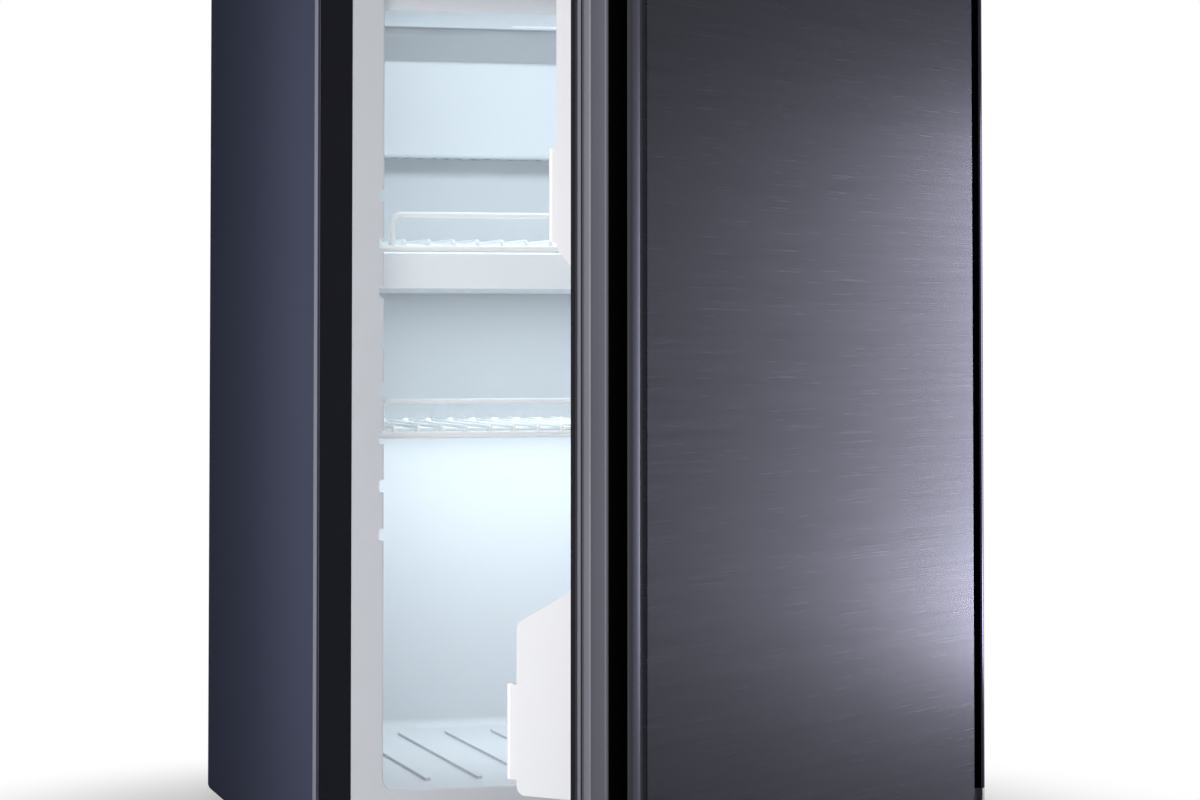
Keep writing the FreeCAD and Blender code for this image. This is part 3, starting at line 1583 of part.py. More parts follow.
def inlet_socket():
    """Appliance inlet: a flange on the box, a recessed body and three blades."""
    cx, cz = inlet_centre()
    face = y_bay + box_depth
    flange = box((cx - inlet_width / 2, cx + inlet_width / 2), (face, face + inlet_rim),
                 (cz - inlet_height / 2, cz + inlet_height / 2))
    flange = flange.makeFillet(inlet_rim / 2, edges_at(flange, "Y", face + inlet_rim))
    half_x = inlet_width / 2 - inlet_flange
    half_z = inlet_height / 2 - inlet_flange
    floor = face - inlet_depth
    body = box((cx - half_x, cx + half_x), (floor, face + inlet_rim / 2), (cz - half_z, cz + half_z))
    wall = inlet_rim
    hollow = box((cx - half_x + wall, cx + half_x - wall), (floor + wall, face + inlet_rim + overrun),
                 (cz - half_z + wall, cz + half_z - wall))
    shape = fused([flange, body]).cut(hollow)
    blades = []
    for index in (-1, 0, 1):
        x = cx + index * inlet_blade_pitch
        z = cz + (1 - abs(index)) * inlet_blade_height / 2 - inlet_blade_height / 4
        blades.append(box((x - inlet_blade_width / 2, x + inlet_blade_width / 2),
                          (floor + wall / 2, floor + wall + inlet_blade_length),
                          (z - inlet_blade_height / 2, z + inlet_blade_height / 2)))
    return fused([shape] + blades)


cabinet_nodes = [
    outer_shell, front_frame, inner_liner, cabinet_foam, base_tray, rear_panel, feet,
    hinge_bracket_top, hinge_bracket_bottom, hinge_pins, hinge_screws,
    control_console, light_lens, led_board, thermostat_body, thermostat_knob,
    evaporator_cover, evaporator_fins, shelf_upper, shelf_lower, drip_tray,
    boiler_casing, heater_cartridge, vapour_pipe, condenser_tube, condenser_fins,
    evaporator_tube, absorber_coil, absorber_vessel, heat_exchanger, solution_line,
    unit_brackets, unit_screws, junction_box, inlet_socket,
]
door_nodes = [
    door_panel, handle_profile, hinge_side_profile, door_cap_bottom, door_cap_top,
    door_foam, door_liner, door_gasket, gasket_magnets, hinge_bushes,
    door_rack_upper, door_rack_lower,
]


def export(maker, turned):
    shape = maker()
    if turned:
        axis = FreeCAD.Vector(pivot_x, pivot_y, 0)
        shape = shape.rotated(axis, FreeCAD.Vector(0, 0, 1), door_open_degrees)
    name = maker.__name__
    shape.exportStep("parts/" + name + ".step")
    bounds = shape.BoundBox
    print(name, len(shape.Solids), shape.isValid(), round(shape.Volume),
          [round(value, 1) for value in (bounds.XMin, bounds.YMin, bounds.ZMin,
                                         bounds.XMax, bounds.YMax, bounds.ZMax)])


for maker in cabinet_nodes:
    export(maker, False)
for maker in door_nodes:
    export(maker, True)
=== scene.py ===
# %% [markdown]
# # A minibar fridge, dressed for the camera
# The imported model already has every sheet, tube and hinge in its real place. This lesson keeps
# those parts, gives each one a finish made from nodes, and draws a softer shape where the plain
# solid shows too little: the ribbed side of the door, its gasket, the wire shelves, the knob and
# the feet.

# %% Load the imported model
import bmesh
import bpy
import math
from mathutils import Matrix, Vector


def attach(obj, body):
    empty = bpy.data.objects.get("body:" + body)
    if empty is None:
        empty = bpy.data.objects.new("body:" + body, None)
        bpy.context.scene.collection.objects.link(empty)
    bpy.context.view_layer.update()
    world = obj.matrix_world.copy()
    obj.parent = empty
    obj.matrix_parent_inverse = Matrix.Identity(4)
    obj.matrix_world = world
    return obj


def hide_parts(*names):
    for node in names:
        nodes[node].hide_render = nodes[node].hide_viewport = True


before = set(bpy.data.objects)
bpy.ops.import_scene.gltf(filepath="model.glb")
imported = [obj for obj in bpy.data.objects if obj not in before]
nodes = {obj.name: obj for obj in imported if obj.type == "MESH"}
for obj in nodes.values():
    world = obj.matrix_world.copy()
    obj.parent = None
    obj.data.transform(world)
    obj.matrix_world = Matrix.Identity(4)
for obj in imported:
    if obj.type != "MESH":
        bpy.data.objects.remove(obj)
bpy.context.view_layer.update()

# %% [markdown]
# The door stands ajar, so everything on it is turned about the hinge pin. It is easiest to model
# the door's pieces as if it were shut, and to turn them at the end. The angle and the pin's place
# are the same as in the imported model, and so are three places on the shut door: its free edge,
# its front, and the face of its brushed panel.

# %% Millimetres, and the turn of the open door
MM = 0.001
DOOR_OPEN = math.radians(40.86)
PIN = Vector((182.0, -215.5, 0.0)) * MM
DOOR_TURN = Matrix.Translation(PIN) @ Matrix.Rotation(DOOR_OPEN, 4, "Z") @ Matrix.Translation(-PIN)
DOOR_LEFT, DOOR_FACE, PANEL_FACE = -197.0, -234.5, -234.2
DOOR_OUT = DOOR_TURN.to_3x3() @ Vector((0, -1, 0))
print("door turned by", round(math.degrees(DOOR_OPEN), 2), "degrees about", [round(v, 4) for v in PIN])

# %% [markdown]
# Materials are built from nodes, and the same few kinds keep coming back. Each helper below makes
# one node, fills its inputs and hands back its result. An input takes either a plain value or the
# output of another node. A Mix node carries a set of sockets for every kind of data, so the
# places of those for colours get names.

# %% One node in one call
FLOAT, COLOR, VECTOR = "NodeSocketFloat", "NodeSocketColor", "NodeSocketVector"
MIX_FACTOR, MIX_FIRST, MIX_SECOND, MIX_RESULT = 0, 6, 7, 2


def feed(tree, socket, value):
    """Links an output to the socket, or sets the socket to a plain value."""
    if isinstance(value, bpy.types.NodeSocket):
        tree.links.new(value, socket)
    else:
        socket.default_value = value


def math_of(tree, operation, first, second):
    node = tree.nodes.new("ShaderNodeMath")
    node.operation = operation
    feed(tree, node.inputs[0], first)
    feed(tree, node.inputs[1], second)
    return node.outputs[0]


def vector_math_of(tree, operation, vectors, result):
    """Works on one or two vectors; result is the name of the output to use."""
    node = tree.nodes.new("ShaderNodeVectorMath")
    node.operation = operation
    for socket, vector in zip(node.inputs, vectors):
        feed(tree, socket, vector)
    return node.outputs[result]


def noise_of(tree, vector, scale, detail):
    node = tree.nodes.new("ShaderNodeTexNoise")
    for label, value in (("Vector", vector), ("Scale", scale), ("Detail", detail)):
        feed(tree, node.inputs[label], value)
    return node.outputs["Fac"]


def range_of(tree, source, low=0.0, high=1.0, start=0.0, end=1.0, kind="LINEAR"):
    """Turns a value that runs from start to end into one that runs from low to high."""
    node = tree.nodes.new("ShaderNodeMapRange")
    node.interpolation_type = kind
    for label, value in (("Value", source), ("From Min", start), ("From Max", end),
                         ("To Min", low), ("To Max", high)):
        feed(tree, node.inputs[label], value)
    return node.outputs[0]


def mix_of(tree, factor, first, second, blend="MIX"):
    """Two colours mixed by a factor."""
    node = tree.nodes.new("ShaderNodeMix")
    node.data_type = "RGBA"
    node.blend_type = blend
    for place, value in ((MIX_FACTOR, factor), (MIX_FIRST, first), (MIX_SECOND, second)):
        feed(tree, node.inputs[place], value)
    return node.outputs[MIX_RESULT]


print("node helpers ready")

# %% [markdown]
# Several finishes share the same small effects: the soft mottling that no moulding or paint is
# free of, the fine streaks of brushed or rolled metal, a thin film of dust, and a change of tone
# at an edge. Each one is a node group with named sockets, built once, and placed in a material
# with its own numbers.

# %% Start a node group, and place one
def start_group(name, inputs, outputs):
    """A new group: its tree, the values it is given, and the results it hands out."""
    tree = bpy.data.node_groups.new(name, "ShaderNodeTree")
    for label, kind, value in inputs:
        socket = tree.interface.new_socket(name=label, in_out="INPUT", socket_type=kind)
        if value is not None:
            socket.default_value = value
    for label, kind in outputs:
        tree.interface.new_socket(name=label, in_out="OUTPUT", socket_type=kind)
    return tree, tree.nodes.new("NodeGroupInput").outputs, tree.nodes.new("NodeGroupOutput").inputs


def place_group(tree, group, values):
    """Places a group in a tree, fills its inputs and hands back its outputs."""
    node = tree.nodes.new("ShaderNodeGroup")
    node.node_tree = group
    for label, value in values.items():
        feed(tree, node.inputs[label], value)
    return node.outputs


print("group helpers ready")

# %% [markdown]
# The mottle has two sizes of noise. The broad one mixes two close colours, and the fine one is
# the grain of the surface, which will move its roughness and its height.

# %% Mottle: two sizes of soft noise
mottle, given, result = start_group(
    "mottle",
    [("Vector", VECTOR, None), ("Light", COLOR, (1, 1, 1, 1)), ("Dark", COLOR, (0, 0, 0, 1)),
     ("Patch Scale", FLOAT, 8.0), ("Grain Scale", FLOAT, 900.0)],
    [("Color", COLOR), ("Grain", FLOAT)])
patches = noise_of(mottle, given["Vector"], given["Patch Scale"], 4.0)
feed(mottle, result["Color"], mix_of(mottle, patches, given["Dark"], given["Light"]))
feed(mottle, result["Grain"], noise_of(mottle, given["Vector"], given["Grain Scale"], 2.0))
print("mottle:", len(mottle.nodes), "nodes")

# %% [markdown]
# Brushed metal carries thousands of hair-fine scratches in one direction. A noise squeezed along
# two axes and stretched along the third gives them: the stretch is the vector that multiplies
# the coordinates. Two such noises, one coarse and one fine, keep the lines from looking printed.

# %% Streaks: noise stretched along one direction
streaks, given, result = start_group(
    "streaks",
    [("Vector", VECTOR, None), ("Stretch", VECTOR, (1, 1, 1))],
    [("Fine", FLOAT), ("Coarse", FLOAT)])
stretched = vector_math_of(streaks, "MULTIPLY", (given["Vector"], given["Stretch"]), "Vector")
for label, scale, detail in (("Fine", 1.0, 3.0), ("Coarse", 0.22, 2.0)):
    feed(streaks, result[label], noise_of(streaks, stretched, scale, detail))
print("streaks:", len(streaks.nodes), "nodes")

# %% [markdown]
# Dust settles on faces that look up, and never evenly. The upward part of the normal gives the
# place, a noise breaks it up, and the amount scales the whole.

# %% Dust: a mask for faces that look up
DUST_BEGINS, DUST_FULL = 0.6, 1.0
DUST_TONE = (0.55, 0.53, 0.50, 1)
dust, given, result = start_group(
    "dust", [("Vector", VECTOR, None), ("Amount", FLOAT, 0.3)], [("Mask", FLOAT)])
normal_parts = dust.nodes.new("ShaderNodeSeparateXYZ")
feed(dust, normal_parts.inputs[0], dust.nodes.new("ShaderNodeNewGeometry").outputs["Normal"])
upward = range_of(dust, normal_parts.outputs["Z"], start=DUST_BEGINS, end=DUST_FULL)
speckled = math_of(dust, "MULTIPLY", upward, noise_of(dust, given["Vector"], 60.0, 6.0))
feed(dust, result["Mask"], math_of(dust, "MULTIPLY", speckled, given["Amount"]))
print("dust:", len(dust.nodes), "nodes")

# %% [markdown]
# Two finishes get painted light at an edge. The wrapper's front edge is a sheet folded back on
# itself, and a paler band painted next to the fold stands in for the highlight that its bend
# catches. The brushed panel's cut edge sits in a dark groove and is painted paler than its face,
# so it shows as lit. Both are a mask between two planes across one direction: the first in the
# depth of the cabinet, the second straight out of the door, a little behind the panel's face.

# %% Between: a mask between two planes
between, given, result = start_group(
    "between",
    [("Vector", VECTOR, None), ("Direction", VECTOR, (0, 1, 0)), ("Low", FLOAT, 0.0),
     ("High", FLOAT, 0.0)],
    [("Mask", FLOAT)])
along = vector_math_of(between, "DOT_PRODUCT", (given["Vector"], given["Direction"]), "Value")
above = math_of(between, "GREATER_THAN", along, given["Low"])
below = math_of(between, "LESS_THAN", along, given["High"])
feed(between, result["Mask"], math_of(between, "MULTIPLY", above, below))

# FOLD_HIGHLIGHT is a painted highlight: a paler band along the wrapper's folded front edge.
FOLD_HIGHLIGHT = ((0, 1, 0), -0.1959, -0.1875)
PANEL_SKIN = 0.0006
panel_front = DOOR_OUT.dot(DOOR_TURN @ (Vector((0, PANEL_FACE, 0)) * MM))
# PANEL_EDGE_LIGHT paints light: the panel's side wall, set in a dark groove, is painted paler than its
# face.
PANEL_EDGE_LIGHT = (DOOR_OUT, 0.0, panel_front - PANEL_SKIN)
print("between:", len(between.nodes), "nodes, panel edge below", round(PANEL_EDGE_LIGHT[2], 4))

# %% [markdown]
# Every finish below is one call: a pair of close colours that the mottle mixes, a roughness that
# the grain moves up and down, a small bump, and, where the metal is brushed or rolled, streaks.
# The plain numbers, such as metallic, coat or tint, sit on the shader's own sockets.

# %% One recipe for all opaque finishes
RELIEF_DEPTH = 0.0004


def finish_of(name, light, dark, rough, bump=0.05, grain=900.0, patch=8.0, metallic=0.0,
              stretch=None, streak_tone=0.0, dusty=0.0, band=None, painted_light_tone=None, **shader):
    """A material from two colours, a range of roughness, and the effects that it asks for."""
    material = bpy.data.materials.new(name)
    material.use_nodes = True
    tree = material.node_tree
    bsdf = tree.nodes["Principled BSDF"].inputs
    bsdf["Metallic"].default_value = metallic
    for label, value in shader.items():
        bsdf[label.replace("_", " ").title().replace("Ior", "IOR")].default_value = value
    place = tree.nodes.new("ShaderNodeTexCoord").outputs["Object"]
    skin = place_group(tree, mottle, {"Vector": place, "Light": (*light, 1), "Dark": (*dark, 1),
                                      "Patch Scale": patch, "Grain Scale": grain})
    color, height = skin["Color"], skin["Grain"]
    if stretch:
        lines = place_group(tree, streaks, {"Vector": place, "Stretch": stretch})
        height = lines["Fine"]
        level = range_of(tree, lines["Coarse"], 1 - streak_tone, 1 + streak_tone)
        color = mix_of(tree, 1.0, color, level, "MULTIPLY")
    # The band paints light: a paler tone between two planes stands in for a highlight or a lit edge.
    if band:
        direction, low, high = band
        part = place_group(tree, between, {"Vector": place, "Direction": direction,
                                           "Low": low, "High": high})
        color = mix_of(tree, part["Mask"], color, (*painted_light_tone, 1))
    if dusty:
        film = place_group(tree, dust, {"Vector": place, "Amount": dusty})
        color = mix_of(tree, film["Mask"], color, DUST_TONE)
    relief = tree.nodes.new("ShaderNodeBump")
    relief.inputs["Strength"].default_value = bump
    relief.inputs["Distance"].default_value = RELIEF_DEPTH
    feed(tree, relief.inputs["Height"], height)
    feed(tree, bsdf["Base Color"], color)
    feed(tree, bsdf["Roughness"], range_of(tree, height, *rough))
    feed(tree, bsdf["Normal"], relief.outputs[0])
    return material


print("recipe ready")

# %% [markdown]
# The cabinet is painted steel with a blue-grey, almost black tone; the frame behind the gasket is
# plain black. The door's front is dark steel brushed from side to side, so its scratches run
# level and the light spreads up and down. The side profiles are dark anodised aluminium, drawn
# through a die, so their lines run upright. A rim colour sets how bright a metal gets when it is
# seen at a grazing angle.

# %% Finishes of the cabinet and door
METAL_RIM, BRUSHED_RIM = (0.5, 0.5, 0.55, 1), (0.74, 0.74, 0.81, 1)
LEVEL_LINES, UPRIGHT_LINES = (20, 20, 1500), (1500, 1500, 9)
# The paler band on the cabinet paint is a painted highlight along the folded front edge.
cabinet_paint = finish_of("cabinet_paint", (0.038, 0.042, 0.066), (0.032, 0.036, 0.058), (0.5, 0.6),
                          bump=0.04, grain=700, patch=3, specular_ior_level=0.0, dusty=0.04,
                          band=FOLD_HIGHLIGHT, painted_light_tone=(0.135, 0.137, 0.165))
frame_black = finish_of("frame_black", (0.0085, 0.0088, 0.0130), (0.0065, 0.0068, 0.0100),
                        (0.42, 0.5), bump=0.04, specular_ior_level=0.05)
# The paler tone on the panel's edge is painted light on the panel's side wall.
door_brushed = finish_of("door_brushed", (0.0215, 0.0215, 0.0265), (0.0145, 0.0145, 0.0185),
                         (0.220, 0.300), metallic=1.0, specular_tint=BRUSHED_RIM,
                         stretch=LEVEL_LINES, streak_tone=0.40, bump=0.026, patch=5,
                         band=PANEL_EDGE_LIGHT, painted_light_tone=(0.30, 0.30, 0.36))
profile_dark = finish_of("profile_dark", (0.112, 0.112, 0.136), (0.096, 0.096, 0.117), (0.32, 0.40),
                         metallic=1.0, specular_tint=METAL_RIM, stretch=UPRIGHT_LINES,
                         streak_tone=0.06, bump=0.05)
cap_grey = finish_of("cap_grey", (0.034, 0.034, 0.043), (0.028, 0.028, 0.036), (0.40, 0.52),
                     bump=0.12, grain=1400)
# profile_highlight is a painted highlight: a paler copy of the profile for its rib tops and shoulder.
profile_highlight = finish_of("profile_highlight", (0.190, 0.190, 0.222), (0.165, 0.165, 0.195),
                           (0.32, 0.40), metallic=1.0, specular_tint=METAL_RIM,
                           stretch=UPRIGHT_LINES, streak_tone=0.05, bump=0.04)
# profile_shade is painted shade: a darker matt copy of the profile for its grooves, rear band and lip
# side.
profile_shade = finish_of("profile_shade", (0.028, 0.028, 0.036), (0.022, 0.022, 0.029),
                          (0.40, 0.5), bump=0.04, specular_ior_level=0.15)
profile_gloss = finish_of("profile_gloss", (0.020, 0.020, 0.025), (0.016, 0.016, 0.020),
                          (0.14, 0.20), specular_tint=METAL_RIM, metallic=1.0,
                          stretch=UPRIGHT_LINES, streak_tone=0.05, bump=0.02)
# profile_lip_shade is painted shade: a darker copy on the lip's front that dims the lamp's reflection
# there.
profile_lip_shade = finish_of("profile_lip_shade", (0.060, 0.060, 0.073), (0.044, 0.044, 0.055), (0.32, 0.40),
                        metallic=1.0, specular_tint=METAL_RIM, bump=0.02, grain=900, patch=3)
# groove_lit is painted light: a paler matt copy for the groove floor, so the deep groove shows as lit.
groove_lit = finish_of("groove_lit", (0.034, 0.034, 0.044), (0.028, 0.028, 0.037), (0.5, 0.6),
                         bump=0.02, grain=900, patch=3)
# recess_shade is painted shade: near-black paint standing for the shade inside the grip recess.
recess_shade = finish_of("recess_shade", (0.0030, 0.0030, 0.0036), (0.0020, 0.0020, 0.0025),
                         (0.6, 0.7), bump=0.04, specular_ior_level=0.01)
gasket_dark = finish_of("gasket_dark", (0.0140, 0.0140, 0.0190), (0.0100, 0.0100, 0.0140),
                        (0.5, 0.62), bump=0.06, specular_ior_level=0.08)
print("cabinet and door finishes ready")

# %% [markdown]
# Inside, everything is pale, and the whites differ a little: the moulded liner is the greyest,
# the tray and the coated wires are the brightest.

# %% Finishes of the compartment
liner_white = finish_of("liner_white", (0.575, 0.590, 0.620), (0.545, 0.560, 0.590), (0.28, 0.36),
                        bump=0.015, grain=260, patch=4, specular_ior_level=0.4)
console_white = finish_of("console_white", (0.73, 0.76, 0.80), (0.70, 0.73, 0.77), (0.30, 0.40),
                          bump=0.02, grain=500, patch=5)
rack_white = finish_of("rack_white", (0.82, 0.82, 0.845), (0.79, 0.79, 0.815), (0.20, 0.28),
                       bump=0.015, grain=260, patch=6)
wire_white = finish_of("wire_white", (0.94, 0.96, 0.96), (0.89, 0.91, 0.92), (0.25, 0.38),
                       bump=0.03, grain=1200, patch=20, coat_weight=0.3)
tray_white = finish_of("tray_white", (0.88, 0.92, 0.94), (0.85, 0.89, 0.92), (0.14, 0.22),
                       bump=0.015, grain=260)
knob_grey = finish_of("knob_grey", (0.36, 0.38, 0.42), (0.30, 0.32, 0.36), (0.35, 0.45), bump=0.1)
print("compartment finishes ready")

# %% [markdown]
# The back of the fridge is plainer: rolled and galvanised steel, black tubes, rubber feet, and
# dust on whatever looks up. The foam, the bushes and the board are hidden, but not left grey. The
# lens of the lamp glows faintly.

# %% Finishes of the inner works and the back
galvanised = finish_of("galvanised", (0.58, 0.60, 0.62), (0.40, 0.42, 0.45), (0.32, 0.52),
                       bump=0.08, grain=160, patch=70, metallic=0.9, dusty=0.35)
fastener_steel = finish_of("fastener_steel", (0.60, 0.61, 0.62), (0.48, 0.49, 0.50), (0.25, 0.4),
                           bump=0.05, metallic=1.0, grain=1500)
plain_steel = finish_of("plain_steel", (0.50, 0.50, 0.52), (0.42, 0.42, 0.44), (0.3, 0.45),
                        metallic=1.0, stretch=(900, 900, 12), streak_tone=0.1)
plain_aluminium = finish_of("plain_aluminium", (0.74, 0.75, 0.77), (0.62, 0.63, 0.66), (0.28, 0.42),
                            metallic=1.0, stretch=(30, 700, 30), streak_tone=0.08, bump=0.06,
                            dusty=0.3)
unit_black = finish_of("unit_black", (0.020, 0.020, 0.021), (0.010, 0.010, 0.011), (0.45, 0.62),
                       bump=0.2, grain=420, patch=25, dusty=0.35)
hinge_black = finish_of("hinge_black", (0.016, 0.016, 0.019), (0.011, 0.011, 0.013), (0.35, 0.48),
                        bump=0.12, grain=600, dusty=0.15)
dark_plastic = finish_of("dark_plastic", (0.022, 0.022, 0.024), (0.016, 0.016, 0.018), (0.42, 0.55),
                         bump=0.2, grain=1300, dusty=0.25)
foot_rubber = finish_of("foot_rubber", (0.018, 0.018, 0.018), (0.012, 0.012, 0.012), (0.6, 0.75),
                        bump=0.2, grain=900)
foam_cream = finish_of("foam", (0.78, 0.70, 0.46), (0.66, 0.58, 0.36), (0.8, 0.95), bump=0.5,
                       grain=350, patch=30)
bush_plastic = finish_of("bush_plastic", (0.74, 0.74, 0.71), (0.68, 0.68, 0.65), (0.3, 0.4),
                         bump=0.05)
board_green = finish_of("board_green", (0.02, 0.14, 0.06), (0.015, 0.10, 0.045), (0.25, 0.35),
                        bump=0.1)
lens_frosted = finish_of("lens_frosted", (0.90, 0.93, 0.96), (0.84, 0.88, 0.92), (0.45, 0.55),
                         bump=0.25, grain=1600, emission_strength=0.08,
                         emission_color=(0.86, 0.94, 1.0, 1))
print("materials", len(bpy.data.materials))

# %% [markdown]
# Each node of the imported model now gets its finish. The mesh itself isn't touched: only the
# material in its slot changes. A list keeps the names together by material, so that a piece that
# was forgotten shows up when the counts are compared.

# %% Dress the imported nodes
DRESS = (
    (cabinet_paint, ("outer_shell",)),
    (frame_black, ("front_frame",)),
    (liner_white, ("inner_liner", "evaporator_cover")),
    (console_white, ("control_console",)),
    (tray_white, ("drip_tray",)),
    (wire_white, ("shelf_upper", "shelf_lower")),
    (foam_cream, ("cabinet_foam", "door_foam")),
    (galvanised, ("base_tray", "rear_panel", "unit_brackets")),
    (foot_rubber, ("feet",)),
    (hinge_black, ("hinge_bracket_top", "hinge_bracket_bottom")),
    (fastener_steel, ("hinge_screws", "unit_screws", "hinge_pins", "gasket_magnets")),
    (lens_frosted, ("light_lens",)),
    (board_green, ("led_board",)),
    (dark_plastic, ("thermostat_body", "junction_box", "inlet_socket")),
    (knob_grey, ("thermostat_knob",)),
    (plain_aluminium, ("evaporator_fins", "condenser_fins", "boiler_casing")),
    (plain_steel, ("heater_cartridge", "evaporator_tube")),
    (unit_black, ("vapour_pipe", "condenser_tube", "absorber_coil", "absorber_vessel",
                  "heat_exchanger", "solution_line")),
    (door_brushed, ("door_panel",)),
    (profile_dark, ("handle_profile",)),
    (profile_gloss, ("hinge_side_profile",)),
    (cap_grey, ("door_cap_bottom", "door_cap_top")),
    (rack_white, ("door_liner", "door_rack_upper", "door_rack_lower")),
    (gasket_dark, ("door_gasket",)),
    (bush_plastic, ("hinge_bushes",)),
)
dressed = set()
for material, names in DRESS:
    for name in names:
        nodes[name].data.materials.clear()
        nodes[name].data.materials.append(material)
        dressed.add(name)
print("dressed", len(dressed), "left", sorted(set(nodes) - dressed))

# %% [markdown]
# Some nodes deserve a second, softer shape: wires with turned-down ends, a gasket with a waist,
# a fluted knob, and the side profile whose ribs and recess catch the eye first. They are drawn
# in millimetres in the same places. One helper scales them, turns those of the door, smooths
# them, attaches each to its body and hides the node that it stands for.

# %% From mesh code to a piece
SHARP_ANGLE = math.radians(35)
WELD = 0.001


def piece_from(shape, name, materials, body, node, on_door=False):
    """Turns mesh code in millimetres into a piece in metres."""
    bmesh.ops.remove_doubles(shape, verts=shape.verts, dist=WELD)
    bmesh.ops.recalc_face_normals(shape, faces=shape.faces)
    bmesh.ops.scale(shape, vec=(MM, MM, MM), verts=shape.verts)
    if on_door:
        bmesh.ops.transform(shape, matrix=DOOR_TURN, verts=shape.verts)
    data = bpy.data.meshes.new(name)
    shape.to_mesh(data)
    shape.free()
    return place_piece(data, name, materials, body, node)


def place_piece(data, name, materials, body, node):
    """Puts a finished mesh in the scene with its materials, attaches it to its body and hides its
    node.
    """
    data.shade_smooth()
    data.set_sharp_from_angle(angle=SHARP_ANGLE)
    for material in materials:
        data.materials.append(material)
    piece = bpy.data.objects.new(name, data)
    bpy.context.collection.objects.link(piece)
    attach(piece, body)
    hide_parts(node)
    print(name, "stands for", node, "faces", len(data.polygons))
    return piece


def box_into(shape, low, high, edge):
    """Adds a box between two corners to a mesh, with its edges rounded."""
    made = bmesh.ops.create_cube(shape, size=1.0)["verts"]
    size = [b - a for a, b in zip(low, high)]
    bmesh.ops.scale(shape, vec=size, verts=made)
    bmesh.ops.translate(shape, vec=[(a + b) / 2 for a, b in zip(low, high)], verts=made)
    edges = list({e for v in made for e in v.link_edges})
    bmesh.ops.bevel(shape, geom=edges, offset=edge, segments=3, profile=0.5, affect="EDGES",
                    material=-1)


print("edges sharper than", round(math.degrees(SHARP_ANGLE)), "degrees stay sharp")

# %% [markdown]
# ## The side profile of the door
# An extruded section: it is drawn once, looking along the door's edge, with u from the free edge
# inwards and v from the front face backwards. The third number of a corner is its radius. A
# vertex bevel rounds the corners, and one extrusion gives the whole length. A milled rod with
# separate strips would show seams that an extruded profile doesn't have. The zones of the section
# choose the finish, and most of them paint light and shade: a painted highlight on the ribs,
# painted shade in the grooves and on the rear band, near-black painted shade inside the grip
# recess, a darker copy on the finger lip's front that dims the lamp's reflection there, and a
# paler matt copy on the floor of the groove beside the panel, so that it shows as lit.

# %% Section of the handle profile
HANDLE_SECTION = ((0.0, 0.0, 0.85), (8.0, 0.0, 0.85), (8.0, 3.0, 0.0), (20.7, 3.0, 2.0),
                  (20.7, 16.9, 0.0), (2.9, 16.9, 0.0), (2.9, 32.8, 0.0), (24.0, 32.8, 0.0),
                  (24.0, 34.5, 0.0), (0.7, 34.5, 0.4), (0.7, 32.9, 0.0), (0.0, 32.7, 0.3),
                  (0.0, 30.9, 0.3), (0.9, 30.7, 0.0), (0.9, 29.2, 0.0), (0.4, 29.0, 0.3),
                  (0.6, 25.4, 0.4), (1.1, 25.0, 0.0), (1.1, 15.2, 2.0), (19.0, 15.2, 2.0),
                  (19.0, 4.8, 2.0), (8.0, 4.8, 2.0), (0.0, 2.9, 0.85))
PROFILE_LOW, PROFILE_HIGH = 53.5, 527.0
# Besides the plain profile, these finishes paint light and shade on the zones of the section.
HANDLE_FINISHES = (profile_dark, profile_highlight, profile_shade, recess_shade, profile_lip_shade,
                   groove_lit)
PLAIN, RIB_HIGHLIGHT, SHADED, GRIP_SHADE, LIP, GROOVE = range(len(HANDLE_FINISHES))


def handle_zone(u, v):
    """Which finish a face takes, from its middle; the limits run between the section's corners."""
    if 4.7 < v < 15.3 and u < 19.1:
        return GRIP_SHADE
    if 0.15 < v <= 4.7 and u < 7.9 or v > 32.85:
        return SHADED
    if 30.8 <= v <= 32.85 or 25.2 < v <= 29.1 and u < 1.0:
        return RIB_HIGHLIGHT
    if v <= 0.15:
        return LIP
    if u > 8.1 and 2.9 < v < 3.1:
        return GROOVE
    return PLAIN


def rounded_sheet(section, segments):
    """A flat face with each corner rounded by its own radius."""
    sheet = bmesh.new()
    spots = [sheet.verts.new((u, v, 0)) for u, v, radius in section]
    sheet.faces.new(spots)
    for size in sorted({radius for u, v, radius in section if radius}):
        group = [spot for spot, point in zip(spots, section) if point[2] == size]
        bmesh.ops.bevel(sheet, geom=group, offset=size, segments=segments, profile=0.5,
                        affect="VERTICES", material=-1)
    return sheet


handle = rounded_sheet(HANDLE_SECTION, segments=4)
grown = bmesh.ops.extrude_face_region(handle, geom=list(handle.faces))["geom"]
lifted = [item for item in grown if isinstance(item, bmesh.types.BMVert)]
bmesh.ops.translate(handle, vec=(0, 0, PROFILE_HIGH - PROFILE_LOW), verts=lifted)
for face in handle.faces:
    middle = face.calc_center_median()
    cut_end = abs(face.normal.z) > 0.5
    face.material_index = PLAIN if cut_end else handle_zone(middle.x, middle.y)
bmesh.ops.translate(handle, vec=(DOOR_LEFT, DOOR_FACE, PROFILE_LOW), verts=handle.verts)
piece_from(handle, "handle_extrusion", HANDLE_FINISHES, "door", "handle_profile",
           on_door=True)

# %% [markdown]
# ## The gasket
# A door gasket is a soft hollow strip, welded at four mitred corners, with a waist that lets it
# follow the frame and two fine grooves over its magnet. Each point of the section, given by its
# inset and its depth, becomes a rectangle. Bridging the rectangles in turn gives the whole ring
# with its mitres. A slim skirt closes the gap to the door along the free edge.

